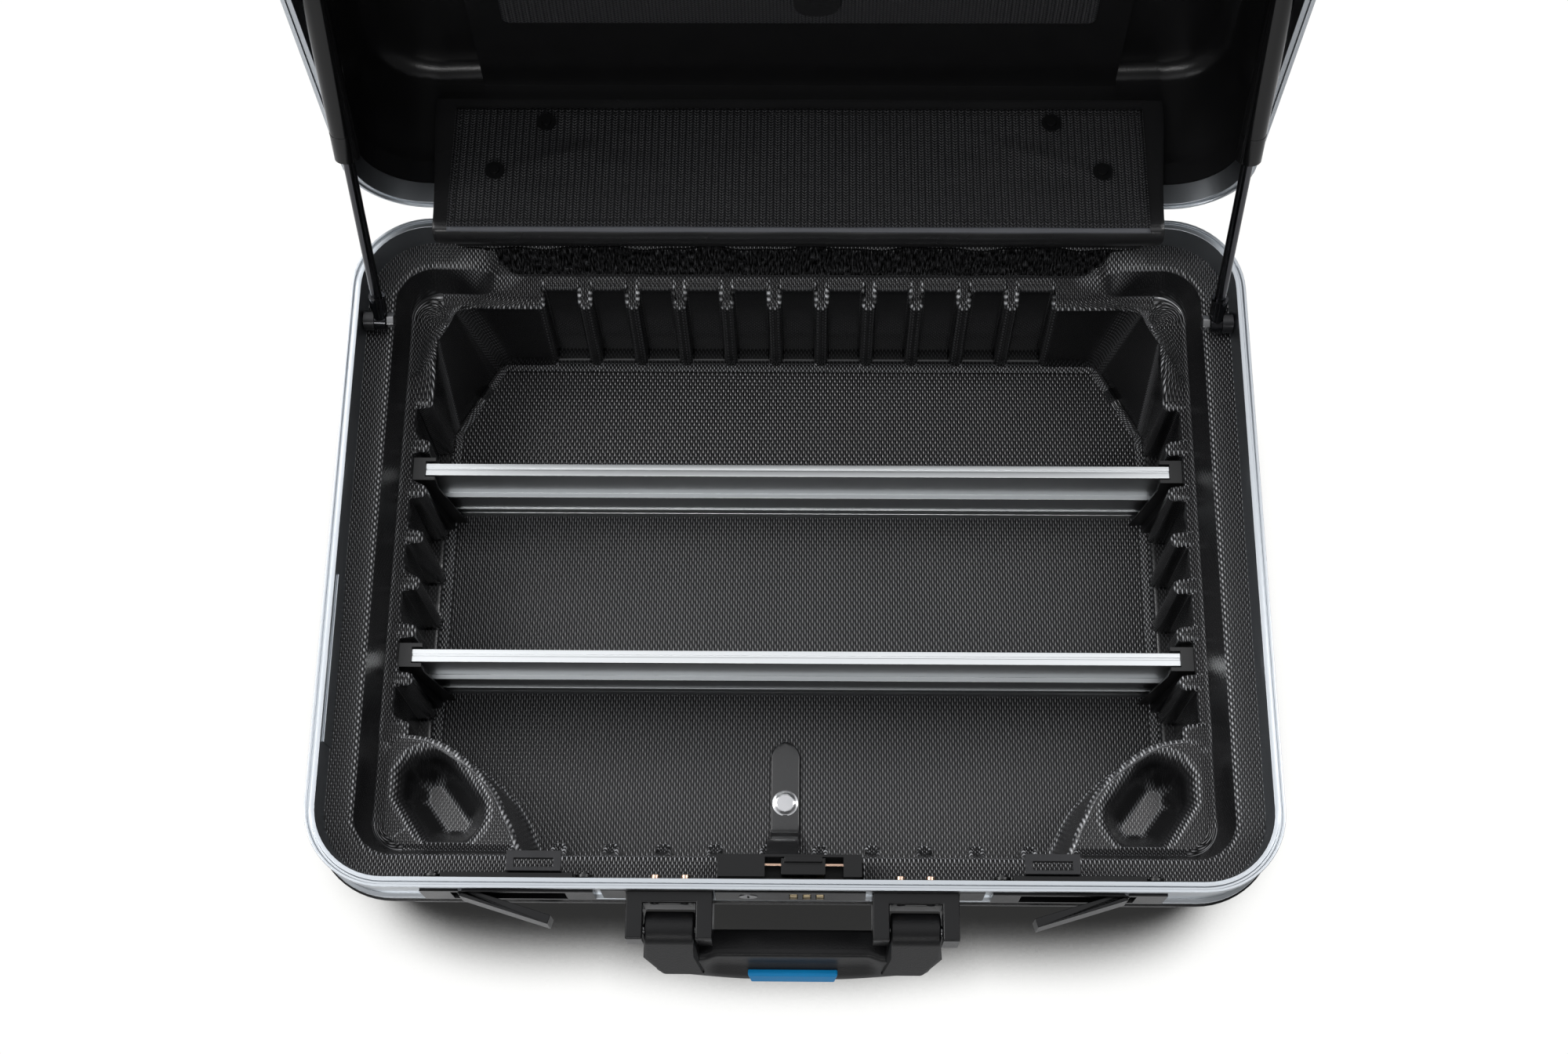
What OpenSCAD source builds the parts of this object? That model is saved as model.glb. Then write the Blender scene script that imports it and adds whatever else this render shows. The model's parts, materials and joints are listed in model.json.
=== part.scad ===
// Rigid tool attache case: plastic shells held in extruded aluminium frames, a ribbed liner with two
// lift-out dividers, a lid on a piano hinge with two gas struts, two draw latches, a combination lock
// and a folding handle. Origin: middle of the flat underside. +X right, +Y to the hinge, +Z up.

/* [Case] */
// Outer width over the frame
case_w = 490; // [470:5:520]
// Outer depth over the frame, front to hinge side
case_d = 373; // [360:1:400]
// Height of the base from underside to rim
base_h = 126; // [122:1:135]
// Height of the lid from rim to top
lid_h = 92; // [84:1:110]
// Outer corner radius of the frames, in plan
corner_r = 42; // [40:1:46]
// Angle of the opened lid
lid_open = 93; // [88:1:98]
// Wall of the two outer shells
shell_t = 2.4; // [2:0.1:3]
// Radius along the bottom edge of the base
edge_r = 20; // [16:1:21]
// How far the walls of the base lean in from the frame to the bottom edge
base_lean = 13; // [10:0.5:14]
// Radius along the top edge of the lid
lid_edge_r = 14; // [12:1:16]

/* [Frames] */
// Width of the flat rim
rim_w = 5.4; // [5:0.1:6]
// Height of the outer face of the base frame
frame_h = 31; // [29:1:34]
// Height of the inner wall of the base frame
frame_in_h = 17.5; // [16:0.5:19]
// Height of the outer face of the lid frame
lid_frame_h = 24; // [22:1:27]
// Height of the inner wall of the lid frame
lid_frame_in_h = 12; // [11:0.5:14]
// Depth of the channel along the outer face
channel_d = 2; // [1.6:0.1:2.2]
// Gap between the two rims when the lid is shut
rim_gap = 0.3; // [0.2:0.1:0.5]

/* [Liner] */
// Sheet thickness of the liner
liner_t = 2; // [1.6:0.1:2.4]
// Height of the liner floor above the underside
floor_z = 6.5; // [5.5:0.5:8]
// Depth from the rim down to the top of the ribbed wall
wall_top = 47.5; // [45:0.5:50]
// Distance from the outer face to the ribs of the front and rear wall, at their top
wall_in = 31.2; // [30.5:0.1:32]
// Distance from the outer face to the ribs of the side walls, at their top
side_in = 39.2; // [38:0.2:39.4]
// Inward slope of the side walls over their height
wall_draft = 0.6; // [0.4:0.1:0.6]
// Inward slope of the inner front and rear wall over their height
long_draft = 2; // [1:0.1:2.4]
// Centre distance of the divider slots
slot_pitch = 27; // [26:0.5:28]
// Width of a divider slot
slot_w = 21.5; // [20:0.1:22.5]
// Depth of a slot in the front and rear wall, at its top
slot_depth = 8; // [7:0.5:8.5]
// Depth of a divider slot in a side wall
side_slot_depth = 8.6; // [8:0.2:9]
// Slots along the rear and front walls
slots_long = 11; // [7:2:11]
// Slots along each side wall
slots_side = 7; // [6:1:7]
// Radius of the raised pods in the front corners
pod_r = 74; // [70:1:76]
// Depth of the pocket in each pod
pod_pocket = 30; // [20:1:40]

/* [Dividers] */
// Height of a divider rail
rail_h = 70; // [60:0.5:70.5]
// Width of the flat top of a divider rail
rail_w = 7; // [6:0.5:8]
// Slot of the rear divider, counted from the front
rear_slot = 5; // [4:1:6]
// Slot of the front divider, counted from the front
front_slot = 1; // [1:1:3]

/* [Struts] */
// Distance of the lower pivot forward of the hinge pin
strut_low_y = 62; // [60:1:66]
// Depth of the lower pivot below the rim
strut_low_z = 10; // [9.5:0.5:11]
// Distance of the upper pivot from the hinge pin
strut_up_y = 200; // [197:1:203]
// Height of the upper pivot above the lid's rim
strut_up_z = 8; // [7:0.5:9]
// Length of the gas tube
strut_tube_len = 99; // [96:1:101]
// Radius of the gas tube
tube_r = 6.4; // [6:0.1:6.6]
// Radius of the piston rod
rod_r = 3; // [2.5:0.25:3.5]

/* [Hardware] */
// Distance of the hinge pin behind the frame
hinge_off = 3.9; // [3.9:0.1:4.2]
// Distance of the hinge's ends from the rounded corners
hinge_end = 3; // [1:1:20]
// Radius of the hinge pin
pin_r = 1.6; // [1.4:0.1:1.8]
// Centre distance of the two handle brackets
bracket_pitch = 122; // [118:1:126]
// Width of a handle knuckle
knuckle_w = 25; // [22:0.5:26]
// Distance from the handle pivot to the far edge of the grip
handle_reach = 40; // [38:1:44]
// Angle of the hanging handle away from vertical
handle_lean = 15; // [12:1:18]
// Distance of each latch from the middle of the case
latch_x = 142; // [140:1:146]
// Angle of an opened latch lever
lever_open = 17; // [12:1:20]
// Radius of a combination dial
dial_r = 6; // [5.6:0.1:6.2]
// Distance of the flap's ends from the rounded corners
flap_end = 1; // [1:1:12]
// Width of the leather strap
strap_w = 16; // [14:1:18]

/* [Hidden] */
$fn = 48;
fine = 96;
slide_gap = 0.05;
part_gap = 0.3;
hinge_len = case_w - 2 * (corner_r + hinge_end);
flap_w = case_w - 2 * (corner_r + flap_end);
web_t = 1.5;
rim_z = base_h;
front_y = -case_d / 2;
rear_y = case_d / 2;
floor_d = rim_z - floor_z;
black = [0.05, 0.05, 0.055];
satin = [0.13, 0.13, 0.14];
silver = [0.78, 0.79, 0.8];

// ---------- shared shapes ----------

// A rectangle with rounded corners, from exact squares and circles
module round_rect(w, d, r) {
    square([w - 2 * r, d], center = true);
    square([w, d - 2 * r], center = true);
    for (sx = [-1, 1], sy = [-1, 1])
        translate([sx * (w / 2 - r), sy * (d / 2 - r)]) circle(r, $fn = fine);
}

// Sweeps a section round the case: x is the distance in from the outer face, y is the height
// Sweeps a section round the rim; a second section, if given, is for the short walls and the corners
module rim_sweep() {
    for (turn = [0, 180]) rotate([0, 0, turn])
        translate([-(case_w / 2 - corner_r), front_y, 0]) rotate([90, 0, 90])
            linear_extrude(case_w - 2 * corner_r) children(0);
    for (turn = [90, 270]) rotate([0, 0, turn])
        translate([-(case_d / 2 - corner_r), -case_w / 2, 0]) rotate([90, 0, 90])
            linear_extrude(case_d - 2 * corner_r) children($children - 1);
    for (turn = [0 : 90 : 270])
        translate([(turn % 270 == 0 ? 1 : -1) * (case_w / 2 - corner_r),
                   (turn < 180 ? 1 : -1) * (case_d / 2 - corner_r), 0])
            rotate([0, 0, turn]) rotate_extrude(angle = 90, $fn = fine)
                translate([corner_r, 0]) mirror([1, 0]) children($children - 1);
}

// Extrudes a section (x inward, y up) along one wall; side 0 front, 1 left, 2 rear, 3 right
module along_wall(side, from, to) {
    half = side % 2 == 0 ? case_d / 2 : case_w / 2;
    rotate([0, 0, [0, -90, 180, 90][side]]) translate([from, -half, 0]) rotate([90, 0, 90])
        linear_extrude(to - from) children();
}

// Turns what is drawn shut into the opened position
module opened() {
    translate([0, rear_y + hinge_off, rim_z]) rotate([-lid_open, 0, 0])
        translate([0, -(rear_y + hinge_off), -rim_z]) children();
}

// A cylinder along X
module x_cylinder(r, from, to) {
    translate([from, 0, 0]) rotate([0, 90, 0]) cylinder(r = r, h = to - from);
}

// A cylinder along +Y
module y_cylinder(r, from, to) {
    translate([0, from, 0]) rotate([-90, 0, 0]) cylinder(r = r, h = to - from);
}

function arc(cx, cy, r, a0, a1, n) =
    [for (i = [0 : n]) let (a = a0 + (a1 - a0) * i / n) [cx + r * cos(a), cy + r * sin(a)]];

module mirror_x(both = true) {
    children();
    if (both) mirror([1, 0, 0]) children();
}

// ---------- outer shells ----------

shell_edge = channel_d + web_t + 0.1;
shell_bulge = -1;
lid_lean = 3.5;
seat_t = liner_t + 0.1;

// Section of a shell wall; edge is the height of its edge, jog the height where it steps out
function shell_section(edge, jog, lean, r) = concat(
    [[shell_edge, edge], [shell_edge, jog], [shell_bulge, jog - 2]],
    arc(floor_in(lean, r), r, r, 180, 270, 8), arc(floor_in(lean, r), r, r - shell_t, 270, 180, 8),
    [[shell_bulge + shell_t, jog - 3 - shell_t], [shell_edge + shell_t, jog - shell_t],
     [shell_edge + shell_t, edge]]);

// Distance in from the outer face at which a shell becomes flat
function floor_in(lean, r) = shell_bulge + lean + r;

module shell_floor(inset) linear_extrude(shell_t)
    round_rect(case_w - 2 * inset, case_d - 2 * inset, corner_r - inset);

module base_shell() color(satin) {
    difference() {
        rim_sweep() polygon(shell_section(rim_z - frame_in_h - seat_t, rim_z - frame_h - 0.1, base_lean, edge_r));
        front_box(lock_x, lock_w - 4, opening_h, shell_edge - 0.5, shell_edge + shell_t + 1);
    }
    shell_floor(floor_in(base_lean, edge_r));
}

lid_top = rim_z + lid_h;
recess_w = 352;
recess_in = 11;

module lid_shut_shell() {
    top_in = floor_in(lid_lean, lid_edge_r);
    recess_d = case_d - 2 * (top_in - lid_edge_r + shell_t);
    difference() {
        union() {
            mirror([0, 0, 1]) translate([0, 0, -lid_top]) rim_sweep()
                polygon(shell_section(lid_h - lid_frame_in_h - 0.1, lid_h - lid_frame_h - 0.1,
                                      lid_lean, lid_edge_r));
            translate([0, 0, lid_top - shell_t]) shell_floor(top_in);
        }
        translate([-recess_w / 2, -case_d, lid_top - recess_in]) cube([recess_w, 2 * case_d, 2 * recess_in]);
    }
    translate([-recess_w / 2 - shell_t, -recess_d / 2, lid_top - recess_in - shell_t])
        cube([recess_w + 2 * shell_t, recess_d, shell_t]);
    step_from = 180 + asin(1 - recess_in / lid_edge_r);
    step_end = [for (p = arc(top_in, lid_edge_r, lid_edge_r, step_from, 270, 6))
        [case_d / 2 - p[0], -p[1]]];
    mirror_x() translate([recess_w / 2, 0, lid_top]) along_x(0, shell_t)
        polygon(concat(step_end, [for (i = [len(step_end) - 1 : -1 : 0]) [-step_end[i][0], step_end[i][1]]]));
}

module lid_shell() color(satin) opened() lid_shut_shell();

// ---------- aluminium frames ----------

groove_from = 1.6;
groove_to = 3;
groove_d = 1.2;
foot_in = rim_w + 1.5;

// Section of a frame; h and in_h are its outer and inner heights, dir is -1 for the base, 1 for the lid
function frame_section(h, in_h, dir) = [for (p = [
    [0, 0], [0, 3], [channel_d, 3.6], [channel_d, h - 3.6], [0, h - 3], [0, h], [channel_d + web_t, h],
    [channel_d + web_t, 5], [channel_d + web_t + 0.4, 5], [rim_w, in_h], [foot_in, in_h], [rim_w, 0]])
    [p[0], rim_z + dir * p[1]]];

latch_w = 86;
latch_h = 21;
lock_w = 75;
lock_x = -1.2;
opening_z = rim_z - 15.5;
opening_h = latch_h - 2;
opening_w = latch_w - 25;

module front_box(x, w, h, y0, y1) {
    translate([x - w / 2, front_y + y0, opening_z - h / 2]) cube([w, y1 - y0, h]);
}

screw_r = 2;
screw_dx = 38;
rivet_r = 1.6;
rivet_dx = 7.5;
fix_z = rim_z - 10;
stud_r = 2.5;
strut_y = rear_y + hinge_off - strut_low_y;
strut_z = rim_z - strut_low_z;
strut_x = case_w / 2 - foot_in - tube_r - 2.6;

module base_frame() color(silver) difference() {
    rim_sweep() polygon(frame_section(frame_h, frame_in_h, -1));
    rim_sweep() translate([groove_from, rim_z - groove_d]) square([groove_to - groove_from, 2 * groove_d]);
    for (side = [-1, 1]) front_box(side * latch_x, opening_w, opening_h, -1, foot_in + 1);
    front_box(lock_x, lock_w - 4, opening_h, -1, foot_in + 1);
    for (side = [-1, 1], dx = [-1, 1])
        translate([side * bracket_pitch / 2 + dx * rivet_dx, front_y, fix_z])
            y_cylinder(rivet_r + slide_gap, -1, foot_in + 1);
    for (side = [-1, 1]) translate([0, strut_y, strut_z]) mirror([side < 0 ? 1 : 0, 0, 0])
        x_cylinder(stud_r + slide_gap, case_w / 2 - foot_in - 1, case_w / 2 + 1);
}

splice_y = 67;
splice_half = 45;
splice_t = 0.6;
splice_d = [4, frame_in_h - 1];

// A plate on the inner wall that joins the two ends of the bent frame
module frame_splice() color([0.9, 0.9, 0.9])
    translate([0, -splice_y, 0]) along_wall(1, -splice_half, splice_half)
        polygon([[face_at(splice_d[0]), rim_z - splice_d[0]], [face_at(splice_d[1]), rim_z - splice_d[1]],
                 [face_at(splice_d[1]) + splice_t, rim_z - splice_d[1]],
                 [face_at(splice_d[0]) + splice_t, rim_z - splice_d[0]]]);

module lid_frame() color(silver) opened() {
    difference() {
        rim_sweep() difference() {
            polygon(frame_section(lid_frame_h, lid_frame_in_h, 1));
            translate([-1, rim_z - 1]) square([foot_in + 2, 1 + rim_gap]);
        }
        for (side = [-1, 1]) lid_stud_at(side) x_cylinder(stud_r + slide_gap, -10, 10);
    }
    rim_sweep() translate([groove_from + part_gap, rim_z + rim_gap - 0.9])
        square([groove_to - groove_from - 2 * part_gap, 0.9 + 0.2]);
}

// ---------- liner ----------

ledge = [[shell_edge + 0.1, frame_in_h], [foot_in + 0.6, frame_in_h + 0.3], [17.5, 20.4], [18.7, 20.4],
         [20, 22], [25.6, wall_top - 5.5], [27, wall_top - 3.9], [wall_in - 0.8, wall_top - 1.4],
         [wall_in, wall_top]];
side_crest = [[27, wall_top - 3.9], [wall_in - 0.8, wall_top - 1.4], [side_in - 1, wall_top - 0.8],
              [side_in, wall_top]];
side_ledge = concat([for (i = [0 : 5]) ledge[i]], side_crest);
cut_ledge = [[shell_edge + 0.1, frame_in_h], [foot_in + 0.4, frame_in_h + 0.2], [10, 20], [17, 36],
             [25.6, wall_top - 5.5], [27, wall_top - 3.9], [wall_in - 0.8, wall_top - 1.4],
             [wall_in, wall_top]];
cut_half = 177;

function up(points) = [for (p = points) [p[0], rim_z - p[1]]];
function back(points) = [for (i = [len(points) - 1 : -1 : 0])
    let (s = i == 0 ? 0 : 1) [points[i][0] - s * liner_t * 0.9, points[i][1] + liner_t * (s == 0 ? 1 : 0.75)]];
function liner_section(points, foot) = concat(up(points), [[foot, floor_z],
    [foot, floor_z - liner_t], [foot - liner_t, floor_z - liner_t]], up(back(points)));
// Sides 0 and 2 are the front and rear wall, 1 and 3 the side walls
function rib_in(side) = side % 2 == 0 ? wall_in : side_in;
function wall_foot(side) = rib_in(side) + (side % 2 == 0 ? long_draft : wall_draft);
function slot_in(side) = rib_in(side) - (side % 2 == 0 ? slot_depth : side_slot_depth);
function slot_foot(side) = slot_in(side) + 0.3;
slot_step = 2.5;

slope_d = 22 + (wall_top - 5.5 - 22) * (slot_in(0) - liner_t - 20) / 5.6;
function box_top(side) = side % 2 == 0
    ? [[slot_in(0) - liner_t, slope_d], [25.6, wall_top - 5.5], [27, wall_top - 3.9],
       [wall_in - 0.8, wall_top - 1.4], [wall_in, wall_top]]
    : concat([[slot_in(1) - liner_t, wall_top - 2.15]], [for (i = [1 : 3]) side_crest[i]]);

module slot_cut(side, at) {
    along_wall(side, at - slot_w / 2, at + slot_w / 2)
        polygon(up([[slot_in(side), 20], [rib_in(side) + 2, 20], [wall_foot(side) + 2, floor_d],
                    [wall_foot(side), floor_d], [wall_foot(side) - 1, floor_d - slot_step],
                    [slot_foot(side), floor_d - slot_step], [slot_in(side), wall_top]]));
}

module slot_box(side, at) {
    along_wall(side, at - slot_w / 2 - liner_t, at + slot_w / 2 + liner_t)
        polygon(up(concat(box_top(side), [[wall_foot(side), floor_d], [wall_foot(side), floor_d + liner_t],
                    [wall_foot(side) - 4, floor_d + liner_t],
                    [slot_foot(side) - liner_t, floor_d - slot_step + liner_t],
                    [slot_in(side) - liner_t, wall_top]])));
}

side_slot_shift = 1.7;
long_slots = [for (i = [0 : slots_long - 1]) (i - (slots_long - 1) / 2) * slot_pitch];
side_slots = [for (i = [0 : slots_side - 1]) (i - (slots_side - 1) / 2) * slot_pitch + side_slot_shift];

module all_slots(cut) {
    for (at = long_slots, side = [0, 2]) if (cut) slot_cut(side, at); else slot_box(side, at);
    for (at = side_slots) {
        if (cut) { slot_cut(1, -at); slot_cut(3, at); } else { slot_box(1, -at); slot_box(3, at); }
    }
}

pod_top = rim_z - wall_top + 1;
pod_c = [case_w / 2 - 25, -(case_d / 2 - 20)];
pocket = [[-28, 66, 9], [-32, 25, 9], [-62, 20, 10]];

module pocket_shape(grow) {
    hull() for (p = pocket) translate([case_w / 2 - 20 + p[0], front_y + 14 + p[1]])
        circle(p[2] + grow, $fn = 32);
}

module pod_solid(shrink, top) {
    intersection() {
        translate([pod_c[0], pod_c[1], floor_z - liner_t])
            cylinder(r1 = pod_r + 7 - shrink, r2 = pod_r - shrink, h = top - floor_z + liner_t, $fn = fine);
        translate([0, pod_c[1], 0]) cube([case_w / 2 - wall_in, case_d / 2, rim_z]);
        translate([0, front_y + wall_in - 1, 0]) cube([case_w, case_d, rim_z]);
    }
}

module pod() {
    difference() {
        pod_solid(0, pod_top);
        difference() {
            translate([0, 0, -liner_t]) pod_solid(liner_t, pod_top - liner_t);
            translate([0, 0, pod_top - pod_pocket - liner_t])
                linear_extrude(pod_pocket + liner_t) pocket_shape(liner_t);
        }
        translate([0, 0, pod_top - pod_pocket]) linear_extrude(pod_pocket + 1) pocket_shape(0);
    }
}

module corner_facet() {
    x0 = case_w / 2 - side_in + 1;
    y0 = rear_y - wall_in + 1;
    hull() {
        translate([0, 0, rim_z - wall_top - 3]) linear_extrude(1)
            polygon([[x0, y0], [x0 - 12, y0], [x0, y0 - 24]]);
        translate([0, 0, floor_z - liner_t]) linear_extrude(liner_t)
            polygon([[x0 - 0.8, y0 - 2], [x0 - 27.8, y0 - 2], [x0 - 0.8, y0 - 52.3]]);
    }
}

module base_liner() color(black) {
    difference() {
        union() {
            difference() {
                rim_sweep() {
                    polygon(liner_section(ledge, wall_foot(0)));
                    polygon(liner_section(side_ledge, wall_foot(1)));
                }
                along_wall(2, -cut_half, cut_half)
                    polygon(up([[foot_in + 0.5, 15], [21, 15], [27, 41], [17, 43], [8, 30]]));
            }
            along_wall(2, -cut_half - 1, cut_half + 1)
                polygon(concat(up(cut_ledge), up(back(cut_ledge))));
            translate([0, 0, floor_z - liner_t]) linear_extrude(liner_t)
                round_rect(case_w - 2 * wall_foot(1) + 1, case_d - 2 * wall_foot(0) + 1,
                           corner_r - wall_foot(1) + 0.5);
            all_slots(false);
        }
        all_slots(true);
        translate([case_x0 - part_gap, front_y, lock_z0 - part_gap])
            cube([case_x1 - case_x0 + 2 * part_gap, lock_depth + 2 * part_gap, rim_z]);
    }
    mirror_x() corner_facet();
    mirror_x() pod();
}

// ---------- hinge ----------

knuckle_r = 3.5;
knuckles = 10;
leaf_t = 1.5;

// Half the hinge, drawn for the base; odd picks every other knuckle, low is the leaf's far edge
module hinge_half(odd, low) {
    step = hinge_len / knuckles;
    inner = hinge_off + channel_d;
    translate([0, rear_y + hinge_off, 0]) {
        difference() {
            union() {
                translate([-hinge_len / 2, 0, 0]) rotate([90, 0, 90]) linear_extrude(hinge_len)
                    polygon([[-inner, -low], [-inner, -3.9], [0, -3.9], [0, -5.4],
                             [-inner + leaf_t, -5.4], [-inner + leaf_t, -low]]);
                for (i = [odd : 2 : knuckles - 1])
                    translate([-hinge_len / 2 + i * step + 0.2, 0, 0]) {
                        x_cylinder(knuckle_r, 0, step - 0.4);
                        translate([0, -1.5, -4.5]) cube([step - 0.4, 1.5, 4.5]);
                    }
            }
            x_cylinder(pin_r + slide_gap, -hinge_len, hinge_len);
        }
    }
}

module hinge_base_leaf() color(silver) translate([0, 0, rim_z]) hinge_half(0, frame_h - 6);

module hinge_lid_leaf() color(silver) opened() translate([0, 0, rim_z]) mirror([0, 0, 1])
    hinge_half(1, lid_frame_h - 6);

module hinge_pin() color("gray")
    translate([0, rear_y + hinge_off, rim_z]) x_cylinder(pin_r, -hinge_len / 2, hinge_len / 2);

// ---------- flap over the hinge ----------

leather_t = 1.5;
flap_in = foot_in + 0.3;
flap_reach = 75;

// The part of the flap on the base: down the inner wall of the frame and over the cut-back ledge
module flap_lower() color(black)
    along_wall(2, -flap_w / 2 + 5, flap_w / 2 - 5)
        polygon([[flap_in - 0.2, rim_z - 2], [flap_in - 0.2, rim_z - frame_in_h + 0.4],
                 [flap_in + leather_t, rim_z - frame_in_h + 0.9], [flap_in + leather_t, rim_z - 2]]);

strip_line = [[10.3, 20.7], [16.4, 34.6]];
function beside(line, off) = let (d = (line[1] - line[0]) / norm(line[1] - line[0]))
    [for (p = line) p + off * [d[1], -d[0]]];

module rear_loop_strip() color(black)
    along_wall(2, -cut_half + 5, cut_half - 5)
        polygon(up(concat(beside(strip_line, part_gap), [for (i = [1, 0]) beside(strip_line, part_gap + leather_t)[i]])));

module flap_upper() color(black) opened()
    along_wall(2, -flap_w / 2, flap_w / 2)
        translate([flap_in, rim_z + 2]) square([leather_t, flap_reach]);

module flap_loop_panel() color([0.09, 0.09, 0.1]) opened()
    along_wall(2, -flap_w / 2 + 9, flap_w / 2 - 9)
        translate([flap_in + leather_t, rim_z + 10]) square([leather_t, flap_reach - 14]);

flap_screw_at = [[-141, 48], [141, 48], [-168, 16], [168, 16]];

module flap_screws() color("dimgray") opened() for (p = flap_screw_at)
    translate([p[0], rear_y - flap_in - 2 * leather_t, rim_z + 2 + p[1]]) {
        difference() {
            y_cylinder(5.5, -0.8, 0);
            y_cylinder(2.8, -2, -0.3);
        }
        y_cylinder(2.6, -1.8, -0.3);
    }

// ---------- gas struts ----------

up_y = -strut_up_y;
low_y = -strut_low_y;
turned_y = up_y * cos(lid_open) + strut_up_z * sin(lid_open);
turned_z = -up_y * sin(lid_open) + strut_up_z * cos(lid_open);
strut_dy = turned_y - low_y;
strut_dz = turned_z + strut_low_z;
strut_len = norm([strut_dy, strut_dz]);
strut_tilt = atan2(strut_dz, strut_dy);
strut_shut = norm([up_y - low_y, strut_up_z + strut_low_z]);
eye_r = 5.5;
eye_w = 6;
tube_len = strut_tube_len;
tube_off = 12;
neck_len = 18;

module lid_stud_at(side) {
    translate([0, rear_y + hinge_off - strut_up_y, rim_z + strut_up_z])
        mirror([side < 0 ? 1 : 0, 0, 0]) translate([case_w / 2 - foot_in, 0, 0]) children();
}

module base_stud_at(side) {
    translate([0, strut_y, strut_z]) mirror([side < 0 ? 1 : 0, 0, 0]) children();
}

// Draws along +X from the lower pivot towards the upper one, on the right side or the left
module strut_line(side) {
    base_stud_at(side) translate([strut_x, 0, 0]) rotate([0, -90, 0]) rotate([0, 0, 90])
        rotate([0, 0, 180 - strut_tilt]) mirror([1, 0, 0]) children();
}

module strut_base_studs() color("dimgray") for (side = [-1, 1]) base_stud_at(side) {
    x_cylinder(stud_r, strut_x - eye_w / 2 - 4.6, case_w / 2 - 0.5);
    difference() {
        x_cylinder(5.5, strut_x + eye_w / 2 + 0.3, case_w / 2 - foot_in);
        x_cylinder(stud_r - 0.2, strut_x, case_w / 2);
    }
}

module strut_base_nuts() color(silver) for (side = [-1, 1]) base_stud_at(side) difference() {
    translate([strut_x - eye_w / 2 - 4.3, 0, 0]) rotate([0, 90, 0]) cylinder(r = 4.2, h = 4, $fn = 6);
    x_cylinder(stud_r + 0.01, strut_x - 20, strut_x + 20);
}

module strut_lid_studs() color("dimgray") opened() for (side = [-1, 1]) lid_stud_at(side) {
    x_cylinder(stud_r, 0, 6);
    x_cylinder(4.5, -(case_w / 2 - foot_in - strut_x - eye_w / 2 - part_gap), 0);
}

module strut_rod(side) strut_line(side) {
    difference() {
        union() {
            cylinder(r = eye_r, h = eye_w, center = true);
            x_cylinder(4.4, 2, neck_len);
        }
        cylinder(r = stud_r + slide_gap, h = eye_w + 2, center = true);
        translate([0, 0, eye_w / 2]) cylinder(r = eye_r + 3, h = 5);
        translate([0, 0, -eye_w / 2 - 5]) cylinder(r = eye_r + 3, h = 5);
    }
    x_cylinder(rod_r, neck_len - 1, strut_shut - tube_off - 4);
}

module strut_tube(side) strut_line(side) {
    tube_end = strut_len - tube_off;
    difference() {
        union() {
            x_cylinder(tube_r, tube_end - tube_len + 14, tube_end);
            x_cylinder(tube_r + 0.2, tube_end - tube_len, tube_end - tube_len + 16);
        }
        x_cylinder(rod_r + slide_gap, 0, tube_end - 2);
    }
    translate([strut_len, 0, 0]) {
        cylinder(r = eye_r, h = eye_w, center = true);
        translate([-tube_off, -4, -eye_w / 2]) cube([tube_off, 8, eye_w]);
    }
}

module strut_rod_left() color("black") strut_rod(-1);
module strut_rod_right() color("black") strut_rod(1);
module strut_tube_left() color(black) strut_tube(-1);
module strut_tube_right() color(black) strut_tube(1);

// ---------- handle ----------

bracket_w = 43;
bracket_h = frame_h - 8;
bracket_out = 23.5;
prong_gap = knuckle_w + 1;
pivot_y = front_y - 17;
pivot_z = rim_z - 18;
pivot_r = 2.5;
knuckle_out = 9;

module handle_brackets() color(black) for (side = [-1, 1]) translate([side * bracket_pitch / 2, 0, 0]) {
    difference() {
        union() {
            translate([-bracket_w / 2, front_y - bracket_out, pivot_z - bracket_h / 2 + 2])
                cube([bracket_w, bracket_out - 0.1, bracket_h - 2]);
            translate([-bracket_w / 2 - (side < 0 ? 13 : 0), front_y - 0.1, rim_z - frame_h / 2 - 11])
                cube([bracket_w + 13, channel_d + 0.1, 22]);
        }
        translate([-prong_gap / 2, front_y - bracket_out - 1, 0])
            cube([prong_gap, bracket_out - 4.4, rim_z]);
        translate([-bracket_w, front_y - bracket_out, pivot_z - bracket_h / 2 + 2])
            rotate([45, 0, 0]) cube([2 * bracket_w, 6, 6], center = true);
        translate([0, pivot_y, pivot_z]) x_cylinder(pivot_r, -bracket_w, bracket_w);
        for (dx = [-1, 1]) translate([dx * rivet_dx, front_y, fix_z])
            y_cylinder(rivet_r + slide_gap, -30, 10);
    }
}

module handle_pins() color("silver") for (side = [-1, 1])
    translate([side * bracket_pitch / 2, pivot_y, pivot_z])
        x_cylinder(pivot_r - 0.01, -bracket_w / 2 + 1, bracket_w / 2 - 1);

module bracket_rivets() color([0.85, 0.75, 0.68]) for (side = [-1, 1], dx = [-1, 1])
    translate([side * bracket_pitch / 2 + dx * rivet_dx, front_y, fix_z]) {
        y_cylinder(rivet_r, -4.3, foot_in + 0.9);
        y_cylinder(rivet_r + 0.9, foot_in - 0.4, foot_in + 1.6);
    }

grip_from = 14;
grip_half = 71;
grip_t = 18;
insert_w = 43;

// Draws with the pivot line at the origin and the grip hanging along -Z
module hanging() {
    translate([0, pivot_y, pivot_z]) rotate([-handle_lean, 0, 0]) children();
}

module grip_section(inset) {
    r = 5;
    w = grip_t / 2 - inset;
    translate([-w, -handle_reach + inset]) square([2 * w - r, handle_reach - grip_from - 2 * inset]);
    translate([-w, -handle_reach + inset + r]) square([2 * w, handle_reach - grip_from - 2 * inset - 2 * r]);
    for (y = [-handle_reach + inset + r, -grip_from - inset - r]) translate([w - r, y]) circle(r);
}

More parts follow.
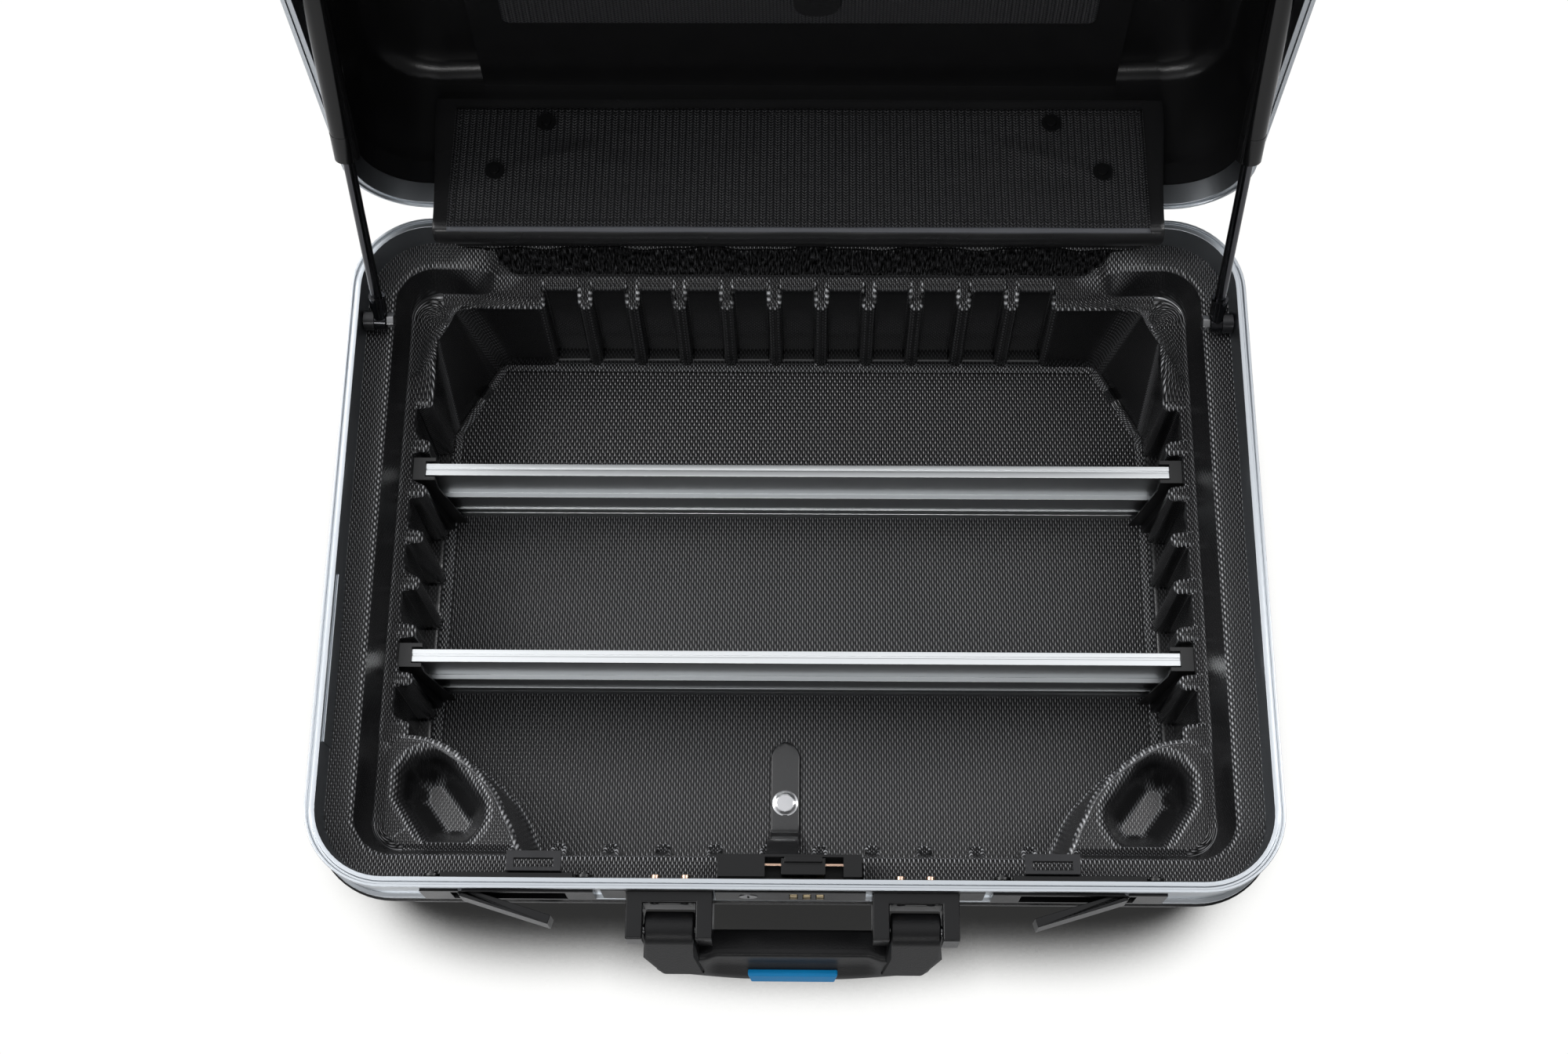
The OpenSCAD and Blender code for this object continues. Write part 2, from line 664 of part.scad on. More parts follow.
module handle_grip() color(black) hanging() difference() {
    union() {
        translate([-grip_half, 0, 0]) rotate([90, 0, 90]) linear_extrude(2 * grip_half)
            mirror([1, 0]) grip_section(0);
        for (side = [-1, 1]) translate([side * bracket_pitch / 2, 0, 0]) {
            x_cylinder(knuckle_out, -knuckle_w / 2, knuckle_w / 2);
            translate([-knuckle_w / 2, -knuckle_out, -grip_from - 2])
                cube([knuckle_w, 2 * knuckle_out - 3, grip_from + 2]);
        }
    }
    for (side = [-1, 1]) translate([side * bracket_pitch / 2, 0, 0])
        x_cylinder(pivot_r + slide_gap, -knuckle_w, knuckle_w);
    translate([0, -grip_t / 2 - 22, -grip_from - 9])
        rotate([0, 90, 0]) cylinder(r = 25, h = 2 * (bracket_pitch / 2 - knuckle_w / 2 - 4), center = true, $fn = fine);
    translate([-insert_w / 2, -grip_t / 2 - 1, -handle_reach - 1]) cube([insert_w, 7, 7]);
}

module handle_insert() color([0, 0.35, 0.6]) hanging()
    translate([-insert_w / 2 + 0.05, -grip_t / 2 - 0.6, -handle_reach - 0.6])
        cube([insert_w - 0.1, 6.6, 6.6]);

// ---------- latches ----------

latch_t = 2.2;
lever_t = 4.6;
hub_r = 2.4;
bezel_out = 1;
lever_w = latch_h - 6;
lever_len = 47;
lever_pin_r = 1.2;

// Draws a latch with +X running from its lever pivot to the middle of the case, y out from the channel
module latch_at(side) {
    translate([side * latch_x, front_y, opening_z]) mirror([side > 0 ? 1 : 0, 0, 0]) children();
}
lever_x = -latch_w / 2 + 20;
lever_y = 0.6;

module latch_housings() color(satin) for (side = [-1, 1]) latch_at(side) difference() {
    union() {
        translate([-latch_w / 2, -bezel_out, -latch_h / 2]) cube([latch_w, channel_d + bezel_out, latch_h]);
        translate([-opening_w / 2 + 0.3, channel_d - 0.1, -opening_h / 2 + 0.3])
            cube([opening_w - 0.6, web_t, opening_h - 0.6]);
    }
    translate([lever_x - 5, -5, -lever_w / 2 - 0.4]) cube([lever_len + 10, 7.4, lever_w + 0.8]);
    translate([lever_x, lever_y, 0]) {
        cylinder(r = lever_pin_r + 0.01, h = latch_h + 1, center = true);
        cylinder(r = hub_r + part_gap, h = lever_w + 0.8, center = true);
    }
    translate([lever_x + 33, -1, -lever_w / 2 - 0.4]) cube([14, 12, lever_w + 0.8]);
}

module latch_pins() color("silver") for (side = [-1, 1]) latch_at(side)
    translate([lever_x, lever_y, -latch_h / 2 + 1]) cylinder(r = lever_pin_r, h = latch_h - 2);

module lever(side) color(black) latch_at(side) translate([lever_x, lever_y, 0]) rotate([0, 0, -lever_open])
    difference() {
        union() {
            translate([0, 1.4 - lever_t, -lever_w / 2]) cube([lever_len, lever_t, lever_w]);
            cylinder(r = hub_r, h = lever_w, center = true);
        }
        cylinder(r = lever_pin_r + slide_gap, h = latch_h + 2, center = true);
        for (z = [-4, 0, 4]) translate([8, -0.8, z - 1]) cube([lever_len - 14, 3, 2]);
    }
module lever_left() lever(-1);
module lever_right() lever(1);

module latch_screws() color("dimgray") for (side = [-1, 1], dx = [-1, 1])
    translate([side * latch_x + dx * screw_dx, front_y, fix_z]) {
        y_cylinder(4.3, foot_in, foot_in + 1.4);
        y_cylinder(2.8, foot_in + 1.3, foot_in + 2.6);
    }

guide_w = opening_w + 5;
guide_t = 1.6;
guide_y = foot_in + 0.1;
loop_w = 27;
loop_bar = 3.6;
loop_out = 10;
loop_z = rim_z - 5;
loop_t = 4;

module latch_guides() color(satin) for (side = [-1, 1])
    translate([side * latch_x, front_y, 0]) mirror([side > 0 ? 1 : 0, 0, 0])
        along_x(-guide_w / 2, guide_w / 2) polygon(up([[face_at(3.5), 3.5], [guide_y + guide_t, 3.5],
            [guide_y + guide_t, 16.5], [face_at(16.5), 16.5]]));

// Just clear of the frame's inner face, at a depth below the rim
function face_at(d) = rim_w + (foot_in - rim_w) * d / frame_in_h + 0.1;

// Extrudes a (y, z) section along X
module along_x(from, to) {
    translate([from, 0, 0]) rotate([90, 0, 90]) linear_extrude(to - from) children();
}

module draw_loop(side) color([0.2, 0.2, 0.21])
    translate([side * latch_x, front_y + guide_y + guide_t + part_gap, 0]) mirror([side > 0 ? 1 : 0, 0, 0])
        difference() {
            union() {
                translate([0, 0, loop_z]) cube([loop_w, loop_out, loop_t]);
                translate([0, 0, rim_z - 13.5]) cube([loop_w, 1.6, 10]);
            }
            translate([loop_bar, 1.8, loop_z - 1])
                cube([loop_w - 2 * loop_bar, loop_out - 1.8 - loop_bar, loop_t + 2]);
        }
module loop_left() draw_loop(-1);
module loop_right() draw_loop(1);

// Hooks on the lid's frame that hang into the draw loops when the lid is shut
module latch_catches() color(satin) opened() for (side = [-1, 1])
    translate([side * latch_x, front_y + foot_in, rim_z]) mirror([side > 0 ? 1 : 0, 0, 0])
        translate([loop_bar + 2, 0, 0]) {
            hook_w = loop_w - 2 * loop_bar - 4;
            translate([-6, 0.1, 1]) cube([hook_w + 12, 2.4, 10]);
            translate([0, 2.4, 2]) cube([hook_w, 4.6, 3]);
            translate([0, 5, -3]) cube([hook_w, 2, 6]);
        }

// ---------- lock ----------

lock_depth = 18;
lock_z0 = rim_z - 26;
lock_h = 24;
case_x0 = lock_x - 36.3;
case_x1 = lock_x + 35.5;
cavity_x0 = case_x0 + 23.6;
cavity_x1 = cavity_x0 + 39;
dial_x = [0.4, 7, 13.6];
dial_t = 3.4;
dial_y = front_y + dial_r - 1.6;
dial_shaft_r = 1.2;
key_x = lock_x - 21;
key_r = 4.6;
bolt_x = 5.2;
bolt_w = 22;
lock_rod_r = 1;
lock_rod_y = front_y + 13.6;
lock_rod_z = rim_z - 6;

module lock_plate() color(satin) difference() {
    front_box(lock_x, lock_w, latch_h, -0.6, channel_d);
    for (x = dial_x) front_box(x, dial_t + 0.8, 2 * dial_r, -1, 5);
    translate([key_x, front_y, opening_z]) y_cylinder(key_r + slide_gap, -2, 6);
}

module lock_case() color(satin) {
    difference() {
        translate([case_x0, front_y + foot_in + 0.1, lock_z0])
            cube([case_x1 - case_x0, lock_depth - foot_in, lock_h]);
        translate([cavity_x0, front_y + foot_in - 1, lock_z0 + 2])
            cube([cavity_x1 - cavity_x0, lock_depth - foot_in - 0.2, lock_h + 6]);
        translate([key_x, front_y, opening_z]) y_cylinder(key_r + slide_gap, -2, 12);
    }
    difference() {
        front_box(lock_x, lock_w - 5, opening_h - 1, channel_d, foot_in + 0.1);
        for (x = dial_x) front_box(x, dial_t + 0.8, 2 * dial_r + 1.4, 0, 10);
        translate([key_x, front_y, opening_z]) y_cylinder(key_r + slide_gap, -2, 20);
        translate([0, dial_y, opening_z]) x_cylinder(dial_shaft_r + 0.01, dial_x[0] - 6, dial_x[2] + 6);
    }
}

module dial_shaft() color("silver")
    translate([0, dial_y, opening_z]) x_cylinder(dial_shaft_r, dial_x[0] - 5.5, dial_x[2] + 5.5);

module dial(i) color([0.75, 0.65, 0.4]) translate([dial_x[i], dial_y, opening_z]) difference() {
    x_cylinder(dial_r, -dial_t / 2, dial_t / 2);
    x_cylinder(dial_shaft_r + slide_gap, -dial_t, dial_t);
    for (a = [0 : 36 : 324]) rotate([a, 0, 0]) translate([0, dial_r, 0])
        rotate([0, 90, 0]) cylinder(r = 0.5, h = 2 * dial_t, center = true, $fn = 16);
}
module dial_1() dial(0);
module dial_2() dial(1);
module dial_3() dial(2);

module key_cylinder() color(silver) translate([key_x, front_y, opening_z]) difference() {
    y_cylinder(key_r, -0.9, 11.5);
    translate([-0.5, -2, -2.8]) cube([1, 9, 5.6]);
}

module lock_bolt() color(satin) difference() {
    translate([bolt_x - bolt_w / 2, front_y, rim_z]) {
        translate([0, foot_in + 1.1, -8.8]) cube([bolt_w, lock_depth - foot_in - 2.6, 6.3]);
        translate([0, dial_r * 2 - 0.8, -14]) cube([bolt_w, lock_depth - dial_r * 2 - 0.7, 6]);
        translate([1.5, lock_depth - 4, -2.6]) cube([bolt_w - 3, 2.5, 3]);
    }
    translate([bolt_x, lock_rod_y, lock_rod_z]) x_cylinder(lock_rod_r + slide_gap, -bolt_w, bolt_w);
}

module lock_rod() color([0.8, 0.65, 0.5])
    translate([0, lock_rod_y, lock_rod_z]) x_cylinder(lock_rod_r, cavity_x0, cavity_x1);

module lock_hook() color(satin) opened() translate([bolt_x, front_y + foot_in, rim_z]) {
    translate([-14, 0.1, 1]) cube([28, 2.4, 10]);
    translate([-6, 2.4, 2]) cube([12, 3.2, 3]);
    translate([-6, 3.6, -2]) cube([12, 2, 6]);
}

// ---------- strap ----------

strap_x = -5.5;
strap_t = 1.6;
strap_far = 104;
strap_line = [[lock_depth + 0.5, 12], [19.5, 19], [24, 26], [33, 46], [40, 100], [44, 112],
              [50, floor_d - 3.4], [58, floor_d - 0.1], [strap_far - strap_w / 2, floor_d - 0.1]];

module strap() color(black) {
    translate([strap_x, 0, 0]) along_wall(0, -strap_w / 2, strap_w / 2)
        polygon(concat(up(strap_line), [for (i = [len(strap_line) - 1 : -1 : 0])
            let (a = strap_line[max(i - 1, 0)], b = strap_line[min(i + 1, len(strap_line) - 1)],
                 d = (b - a) / norm(b - a))
            [strap_line[i][0] + d[1] * strap_t, rim_z - (strap_line[i][1] - d[0] * strap_t)]]));
    translate([strap_x, front_y + strap_far - strap_w / 2, floor_z + 0.1])
        cylinder(r = strap_w / 2, h = strap_t);
}

snap_y = front_y + 70;
module strap_snap() color("gray") translate([strap_x, snap_y, floor_z + 0.1 + strap_t]) {
    cylinder(r = 7.2, h = 1.2);
    translate([0, 0, 1.2]) cylinder(r1 = 6.6, r2 = 4.5, h = 1);
}

// ---------- dividers ----------

rail_z1 = floor_z + part_gap + rail_h;
rail_top_half = case_w / 2 - slot_in(1) - 8.1;
rail_low_half = rail_top_half - 6.9;
web = 1.6;
ledge_z = rail_z1 - 33;
band_h = 13;
band_t = 3;

function slot_y(slot) = side_slots[slot];

module rail(slot) color(silver) translate([0, slot_y(slot), 0]) intersection() {
    translate([-case_w / 2, 0, 0]) rotate([90, 0, 90]) linear_extrude(case_w)
        difference() {
            union() {
                translate([-web / 2, rail_z1 - rail_h]) square([web, rail_h]);
                translate([-rail_w / 2, rail_z1 - 2]) square([rail_w, 2]);
                translate([-rail_w / 2, ledge_z - 1.6]) square([rail_w, 1.6]);
                translate([-band_t / 2, rail_z1 - rail_h]) square([band_t, band_h]);
            }
            translate([-0.3, rail_z1 - 0.4]) square([1.2, 1]);
            for (x = [-1, 1]) translate([x * band_t / 2 - 0.3, rail_z1 - rail_h + 6.5]) square([0.6, 0.8]);
        }
    rotate([90, 0, 0]) linear_extrude(40, center = true)
        polygon([[-rail_low_half, rail_z1 - rail_h], [rail_low_half, rail_z1 - rail_h],
                 [rail_top_half, rail_z1], [-rail_top_half, rail_z1]]);
}

holder_w = 13.3;
holder_reach = 7;
module holders(slot) color(satin) translate([0, slot_y(slot), 0]) mirror_x() {
    difference() {
        union() {
            translate([rail_top_half - 5.5, -holder_w / 2, rail_z1 - 9]) cube([12.5, holder_w, 10]);
            rotate([90, 0, 0]) linear_extrude(slot_w - 1, center = true)
                polygon([[rail_top_half + 2.3, rail_z1 - 8], [rail_top_half + holder_reach, rail_z1 - 8],
                         [rail_low_half + holder_reach - 1.3, rail_z1 - rail_h],
                         [rail_low_half + 1.2, rail_z1 - rail_h]]);
            rotate([90, 0, 0]) linear_extrude(holder_w - 2, center = true)
                polygon([[rail_top_half - 4, rail_z1 - 8], [rail_top_half + 4, rail_z1 - 8],
                         [rail_low_half + 4, rail_z1 - rail_h], [rail_low_half - 6, rail_z1 - rail_h]]);
        }
        rotate([90, 0, 0]) linear_extrude(rail_w + 2.1, center = true)
            polygon([[-rail_low_half - 0.02, rail_z1 - rail_h - 1], [rail_low_half + 0.02, rail_z1 - rail_h - 1],
                     [rail_top_half + 0.02, rail_z1 + 0.05], [rail_top_half + 0.02, rail_z1 + 3],
                     [-rail_top_half - 0.02, rail_z1 + 3]]);
    }
}
module rail_rear() rail(rear_slot);
module rail_front() rail(front_slot);
module holders_rear() holders(rear_slot);
module holders_front() holders(front_slot);

// ---------- lid lining ----------

panel_w = 320;
panel_d = 240;
panel_y = rear_y - 64 - panel_d / 2;
panel_z = lid_top - recess_in - shell_t - leather_t;

module lid_loop_panel() color([0.08, 0.08, 0.09]) opened()
    translate([0, panel_y, panel_z]) linear_extrude(leather_t) round_rect(panel_w, panel_d, 4);

module lid_tab() color(black) opened()
    translate([10, panel_y + panel_d / 2 - 38, panel_z - leather_t])
        linear_extrude(leather_t) round_rect(25, 60, 10);

base_shell();
base_liner();
base_frame();
frame_splice();
hinge_base_leaf();
hinge_pin();
flap_lower();
rear_loop_strip();
handle_brackets();
handle_pins();
bracket_rivets();
latch_housings();
latch_pins();
latch_screws();
latch_guides();
lock_plate();
lock_case();
lock_rod();
dial_shaft();
strut_base_studs();
strut_base_nuts();
strap();
strap_snap();
lid_shell();
lid_frame();
hinge_lid_leaf();
lid_loop_panel();
lid_tab();
latch_catches();
lock_hook();
strut_lid_studs();
flap_upper();
flap_loop_panel();
flap_screws();
strut_rod_left();
strut_rod_right();
strut_tube_left();
strut_tube_right();
handle_grip();
handle_insert();
lever_left();
lever_right();
loop_left();
loop_right();
dial_1();
dial_2();
dial_3();
key_cylinder();
lock_bolt();
rail_rear();
holders_rear();
rail_front();
holders_front();
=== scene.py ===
"""Looks of the tool attache case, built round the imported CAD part.
"""
import json
import math

import bmesh
import bpy
from mathutils import Matrix, Vector


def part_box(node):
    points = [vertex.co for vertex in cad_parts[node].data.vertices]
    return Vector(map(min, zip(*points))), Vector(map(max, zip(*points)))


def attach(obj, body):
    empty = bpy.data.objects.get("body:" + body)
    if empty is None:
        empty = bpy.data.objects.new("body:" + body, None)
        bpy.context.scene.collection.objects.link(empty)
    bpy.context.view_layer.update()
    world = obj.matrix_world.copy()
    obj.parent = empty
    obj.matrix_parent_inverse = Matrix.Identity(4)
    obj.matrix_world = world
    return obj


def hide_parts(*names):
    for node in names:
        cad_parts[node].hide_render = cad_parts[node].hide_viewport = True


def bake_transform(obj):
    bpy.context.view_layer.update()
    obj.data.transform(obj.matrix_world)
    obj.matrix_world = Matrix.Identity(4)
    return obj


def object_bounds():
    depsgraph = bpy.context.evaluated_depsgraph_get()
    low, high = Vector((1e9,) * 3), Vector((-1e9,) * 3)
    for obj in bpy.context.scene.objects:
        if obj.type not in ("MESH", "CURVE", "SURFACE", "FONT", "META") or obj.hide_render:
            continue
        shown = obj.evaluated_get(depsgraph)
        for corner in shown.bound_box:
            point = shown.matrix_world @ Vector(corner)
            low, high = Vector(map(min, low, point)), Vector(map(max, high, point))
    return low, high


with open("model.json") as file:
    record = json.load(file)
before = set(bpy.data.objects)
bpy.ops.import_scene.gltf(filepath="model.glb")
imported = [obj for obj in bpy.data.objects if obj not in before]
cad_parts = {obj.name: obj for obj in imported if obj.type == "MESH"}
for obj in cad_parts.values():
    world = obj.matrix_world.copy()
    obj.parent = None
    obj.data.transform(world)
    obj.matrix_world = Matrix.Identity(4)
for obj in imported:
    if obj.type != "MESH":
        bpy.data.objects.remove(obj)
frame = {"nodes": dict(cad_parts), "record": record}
cad_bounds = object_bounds()
NODES = frame["nodes"]
MM = 0.001
frame_low, frame_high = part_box("base_frame")
CASE_W, CASE_D = ((frame_high[i] - frame_low[i]) / MM for i in (0, 1))
RIM_Z = frame_high[2] / MM
FRONT, REAR, RIGHT = -CASE_D / 2, CASE_D / 2, CASE_W / 2
JOINTS = {row["name"]: row for row in frame["record"]["behaviour"]["joints"]}
CORNER_R = 42
FLOOR_Z = 6.5
FLOOR_D = RIM_Z - FLOOR_Z

# ---------- camera, light and stage ----------

cam_data = bpy.data.cameras.new("camera")
cam_data.sensor_width = 36
cam_data.lens = 47.52
cam_data.clip_end = 20
cam = bpy.data.objects.new("camera", cam_data)
bpy.context.collection.objects.link(cam)
right = Vector((0.99989089, 0.00933087, -0.01145212))
down = Vector((0.00472986, -0.93666301, -0.3502))
ahead = Vector((-0.01399445, 0.35010762, -0.93660494))
cam.matrix_world = Matrix((right, -down, -ahead)).transposed().to_4x4()
cam.location = (0.00921, -0.37564, 1.14174)
scene = bpy.context.scene
scene.camera = cam
scene.view_settings.view_transform = "Standard"


class Nodes:
    """Small helper for node trees."""

    def __init__(self, tree):
        self.tree = tree

    def add(self, kind, **values):
        node = self.tree.nodes.new("ShaderNode" + kind)
        for key, value in values.items():
            if key.startswith("_"):
                setattr(node, key[1:], value)
        for key, value in values.items():
            if not key.startswith("_"):
                self.put(node, key, value)
        return node

    def put(self, node, key, value):
        spot = node.inputs[int(key[1:])] if key[0] == "i" and key[1:].isdigit() else node.inputs[key]
        if isinstance(value, bpy.types.NodeSocket):
            self.tree.links.new(value, spot)
        else:
            spot.default_value = value

    def math(self, op, a, b=0.0, c=0.0):
        return self.add("Math", _operation=op, i0=a, i1=b, i2=c).outputs[0]

    def mix(self, factor, a, b):
        node = self.add("Mix", _data_type="RGBA", i0=factor)
        for spot, value in ((6, a), (7, b)):
            if isinstance(value, bpy.types.NodeSocket):
                self.tree.links.new(value, node.inputs[spot])
            else:
                node.inputs[spot].default_value = value
        return node.outputs[2]

    def noise(self, scale, detail=2.0, stretch=(1, 1, 1), rough=0.5):
        place = self.add("TexCoord").outputs["Object"]
        where = self.add("Mapping", Vector=place, Scale=stretch).outputs[0]
        return self.add("TexNoise", Vector=where, Scale=scale, Detail=detail, Roughness=rough).outputs["Fac"]


def rgb(r, g, b):
    return (r, g, b, 1.0)


world = bpy.data.worlds.new("studio")
scene.world = world
world.use_nodes = True
world.node_tree.nodes.clear()
w = Nodes(world.node_tree)
ray = w.add("LightPath")
KEY = Vector((-0.22, 0.42, 0.88)).normalized()
SKY_LOW, SKY_HIGH = 0.13, 1.15
where = w.add("TexCoord").outputs["Generated"]
toward = w.add("VectorMath", _operation="DOT_PRODUCT", i0=where, i1=KEY).outputs["Value"]
rise = w.add("MapRange", Value=toward, i1=0.35, i2=0.98, i3=SKY_LOW, i4=SKY_HIGH,
             _interpolation_type="SMOOTHSTEP")
sky = w.add("Background", Color=rgb(0.97, 0.98, 1), Strength=rise.outputs[0])
white = w.add("Background", Color=rgb(1, 1, 1), Strength=1.0)
mixed = w.add("MixShader", i0=ray.outputs["Is Camera Ray"], i1=sky.outputs[0], i2=white.outputs[0])
w.add("OutputWorld", Surface=mixed.outputs[0])


def area_light(name, place, aim, size, power):
    data = bpy.data.lights.new(name, "AREA")
    data.shape = "RECTANGLE"
    data.size, data.size_y = size
    data.energy = power
    lamp = bpy.data.objects.new(name, data)
    lamp.location = place
    lamp.rotation_euler = (Vector(aim) - Vector(place)).to_track_quat("-Z", "Y").to_euler()
    bpy.context.collection.objects.link(lamp)


area_light("key", (-1.35, 0.9, 1.6), (0, 0, 0.1), (0.7, 0.7), 9)
area_light("right", (1.3, 0.4, 1.7), (0, 0, 0.1), (0.3, 1.0), 7)
area_light("left", (-1.35, 0.1, 1.5), (0, 0, 0.1), (0.3, 1.0), 7)
area_light("front", (-0.2, -1.7, 1.15), (0, 0.1, 0.1), (1.3, 0.3), 8)


def floor_material():
    """White, with a painted soft shadow close to what stands on it: ambient occlusion dims the glow that the
    camera sees.
    """
    m = bpy.data.materials.new("stage_white")
    m.use_nodes = True
    m.node_tree.nodes.clear()
    n = Nodes(m.node_tree)
    seen = n.add("LightPath").outputs["Is Camera Ray"]
    lit = n.add("BsdfDiffuse", Color=rgb(0.82, 0.82, 0.82))
    # painted shadow: ambient occlusion sets how brightly the floor glows near the case
    near = n.add("AmbientOcclusion", _samples=48, Distance=0.085).outputs["AO"]
    level = n.add("MapRange", Value=near, i1=0.49, i2=0.79, i3=0.03, i4=1.02,
                  _interpolation_type="SMOOTHSTEP")
    painted_shadow_glow = n.add("Emission", Color=rgb(1, 1, 0.99), Strength=level.outputs[0])
    out = n.add("MixShader", i0=seen, i1=lit.outputs[0], i2=painted_shadow_glow.outputs[0])
    n.add("OutputMaterial", Surface=out.outputs[0])
    return m


bpy.ops.mesh.primitive_plane_add(size=14, location=(0, 0, 0))
stage = bpy.context.object
stage.name = "stage_floor"
stage.location = (0, 0, cad_bounds[0][2] - 0.0002)
stage.data.materials.append(floor_material())

# ---------- materials ----------


def surface(name, color, rough, metal=0.0, tint=None, tint_at=60.0, grain=None, gloss=None, height=None,
            depth=0.0002, spec=0.5, valley=None, ior=1.5, painted_wall_shade=None, edge=None):
    """A procedural finish.

    tint is a second colour mixed in by noise of scale tint_at, grain (scale, strength, stretch) a fine bump
    and gloss (scale, amount, stretch) a change of roughness. height is a function that gives a bump's level
    and its weight, and depth is how deep that bump is. valley is a painted shade colour for the gaps where
    the level is low, where the highlight is also held back. painted_wall_shade, used with valley, is a
    painted shade colour where the weight is low, on steep walls, and the highlight is weaker there too. edge
    (from, to, colour), used with valley, is a painted highlight colour laid on the raised threads of tight
    bends where the mesh's pointiness is high, held back where the weight is near 0."""
    m = bpy.data.materials.new(name)
    m.use_nodes = True
    m.node_tree.nodes.clear()
    n = Nodes(m.node_tree)
    p = n.add("BsdfPrincipled", Metallic=metal, Roughness=rough)
    p.inputs["Base Color"].default_value = rgb(*color)
    p.inputs["Specular IOR Level"].default_value = spec
    p.inputs["IOR"].default_value = ior
    if tint:
        n.put(p, "Base Color", n.mix(n.noise(tint_at, 4), rgb(*color), rgb(*tint)))
    if gloss:
        scale, amount, stretch = gloss
        spread = n.math("MULTIPLY_ADD", n.noise(scale, 3, stretch), amount, rough - amount / 2)
        n.put(p, "Roughness", spread)
    normal = None
    if height:
        level, weight = height(n)
        normal = n.add("Bump", Height=level, Distance=depth, Strength=weight).outputs[0]
        if valley:
            # painted shade: the gaps where the level is low get the valley colour and lose most of their
            # highlight
            painted_gap_shade = n.math("MULTIPLY", n.math("SUBTRACT", 1.0, level), weight)
            top = p.inputs["Base Color"].links[0].from_socket if tint else rgb(*color)
            # painted shade on steep walls: where the weight is low the colour turns darker
            if painted_wall_shade:
                top = n.mix(weight, rgb(*painted_wall_shade), top)
            # painted highlight: a light colour on tight bends, found by the mesh's pointiness, stands in for
            # glints
            if edge:
                pointed = n.add("NewGeometry").outputs["Pointiness"]
                bend = n.math("ABSOLUTE", n.math("SUBTRACT", pointed, 0.5))
                painted_glint = n.add("MapRange", Value=bend, i1=edge[0], i2=edge[1],
                               _interpolation_type="SMOOTHSTEP")
                held = n.math("MINIMUM", n.math("MULTIPLY", weight, 3.0), 1.0)
                woven = n.math("MULTIPLY", n.math("POWER", level, 1.5), held)
                top = n.mix(n.math("MULTIPLY", painted_glint.outputs[0], woven), top, rgb(*edge[2]))
            n.put(p, "Base Color", n.mix(painted_gap_shade, top, rgb(*valley)))
            # the highlight is weakened on steep walls and in the gaps, along with their painted shade
            shine = n.math("MULTIPLY_ADD", weight, spec * 0.55, spec * 0.45) if painted_wall_shade else spec
            n.put(p, "Specular IOR Level", n.math("MULTIPLY_ADD", painted_gap_shade, -spec * 0.95, shine))
    if grain:
        scale, strength, stretch = grain
        bump = n.add("Bump", Height=n.noise(scale, 3, stretch), Distance=0.0002, Strength=strength)
        if normal:
            n.put(bump, "Normal", normal)
        normal = bump.outputs[0]
    if normal:
        n.put(p, "Normal", normal)
    n.add("OutputMaterial", Surface=p.outputs[0])
    return m


def weave_height(n, width=0.00142, length=0.0044):
    """Staggered dashes in the mesh's own cloth coordinates, weaker where its third value is low."""
    cloth = n.add("Attribute", _attribute_name="cloth").outputs["Vector"]
    part = n.add("SeparateXYZ", Vector=cloth).outputs
    across = n.math("DIVIDE", part[0], width)
    column = n.math("FLOOR", across)
    inside = n.math("SUBTRACT", across, column)
    shift = n.math("MULTIPLY", n.math("PINGPONG", column, 1.0), math.pi)
    slant = n.math("MULTIPLY", inside, 0.9)
    along = n.math("MULTIPLY_ADD", part[1], 2 * math.pi / length, shift)
    wave = n.math("COSINE", n.math("ADD", along, slant))
    ridge = n.math("SINE", n.math("MULTIPLY", inside, math.pi))
    level = n.math("MULTIPLY", ridge, n.math("MULTIPLY_ADD", wave, 0.42, 0.58))
    return level, part[2]


def chevron_height(n, width=0.0019, length=0.0017, flat=True):
    """Knitted columns of slanted stitches, slanting the other way in each next column. Without flat, they are
    laid out in the object's own X and Z, for a CAD node that has no cloth coordinates."""
    if flat:
        cloth = n.add("Attribute", _attribute_name="cloth").outputs["Vector"]
    else:
        place = n.add("TexCoord").outputs["Object"]
        cloth = n.add("Mapping", Vector=place, Rotation=(math.pi / 2, 0, 0)).outputs[0]
    part = n.add("SeparateXYZ", Vector=cloth).outputs
    across = n.math("DIVIDE", part[0], width)
    wiggle = n.math("MULTIPLY", n.noise(160, 2), 0.5)
    inside = n.math("PINGPONG", across, 1.0)
    rows = n.math("MULTIPLY_ADD", part[1], 2 * math.pi / length, wiggle)
    slant = n.math("MULTIPLY_ADD", inside, 5.0, rows)
    stitch = n.math("MULTIPLY_ADD", n.math("SINE", slant), 0.5, 0.5)
    gap = n.math("ABSOLUTE", n.math("SINE", n.math("MULTIPLY", across, math.pi)))
    valley = n.math("POWER", gap, 0.4)
    return n.math("MULTIPLY", n.math("MULTIPLY_ADD", stitch, 0.6, 0.4), valley), 1.0


def pile_height(n):
    """Upright loops in uneven columns."""
    cloth = n.add("Attribute", _attribute_name="cloth").outputs["Vector"]
    where = n.add("Mapping", Vector=cloth, Scale=(1, 0.22, 0)).outputs[0]
    loops = n.add("TexNoise", Vector=where, Scale=1150, Detail=2).outputs["Fac"]
    return n.add("MapRange", Value=loops, i1=0.4, i2=0.62).outputs[0], 1.0


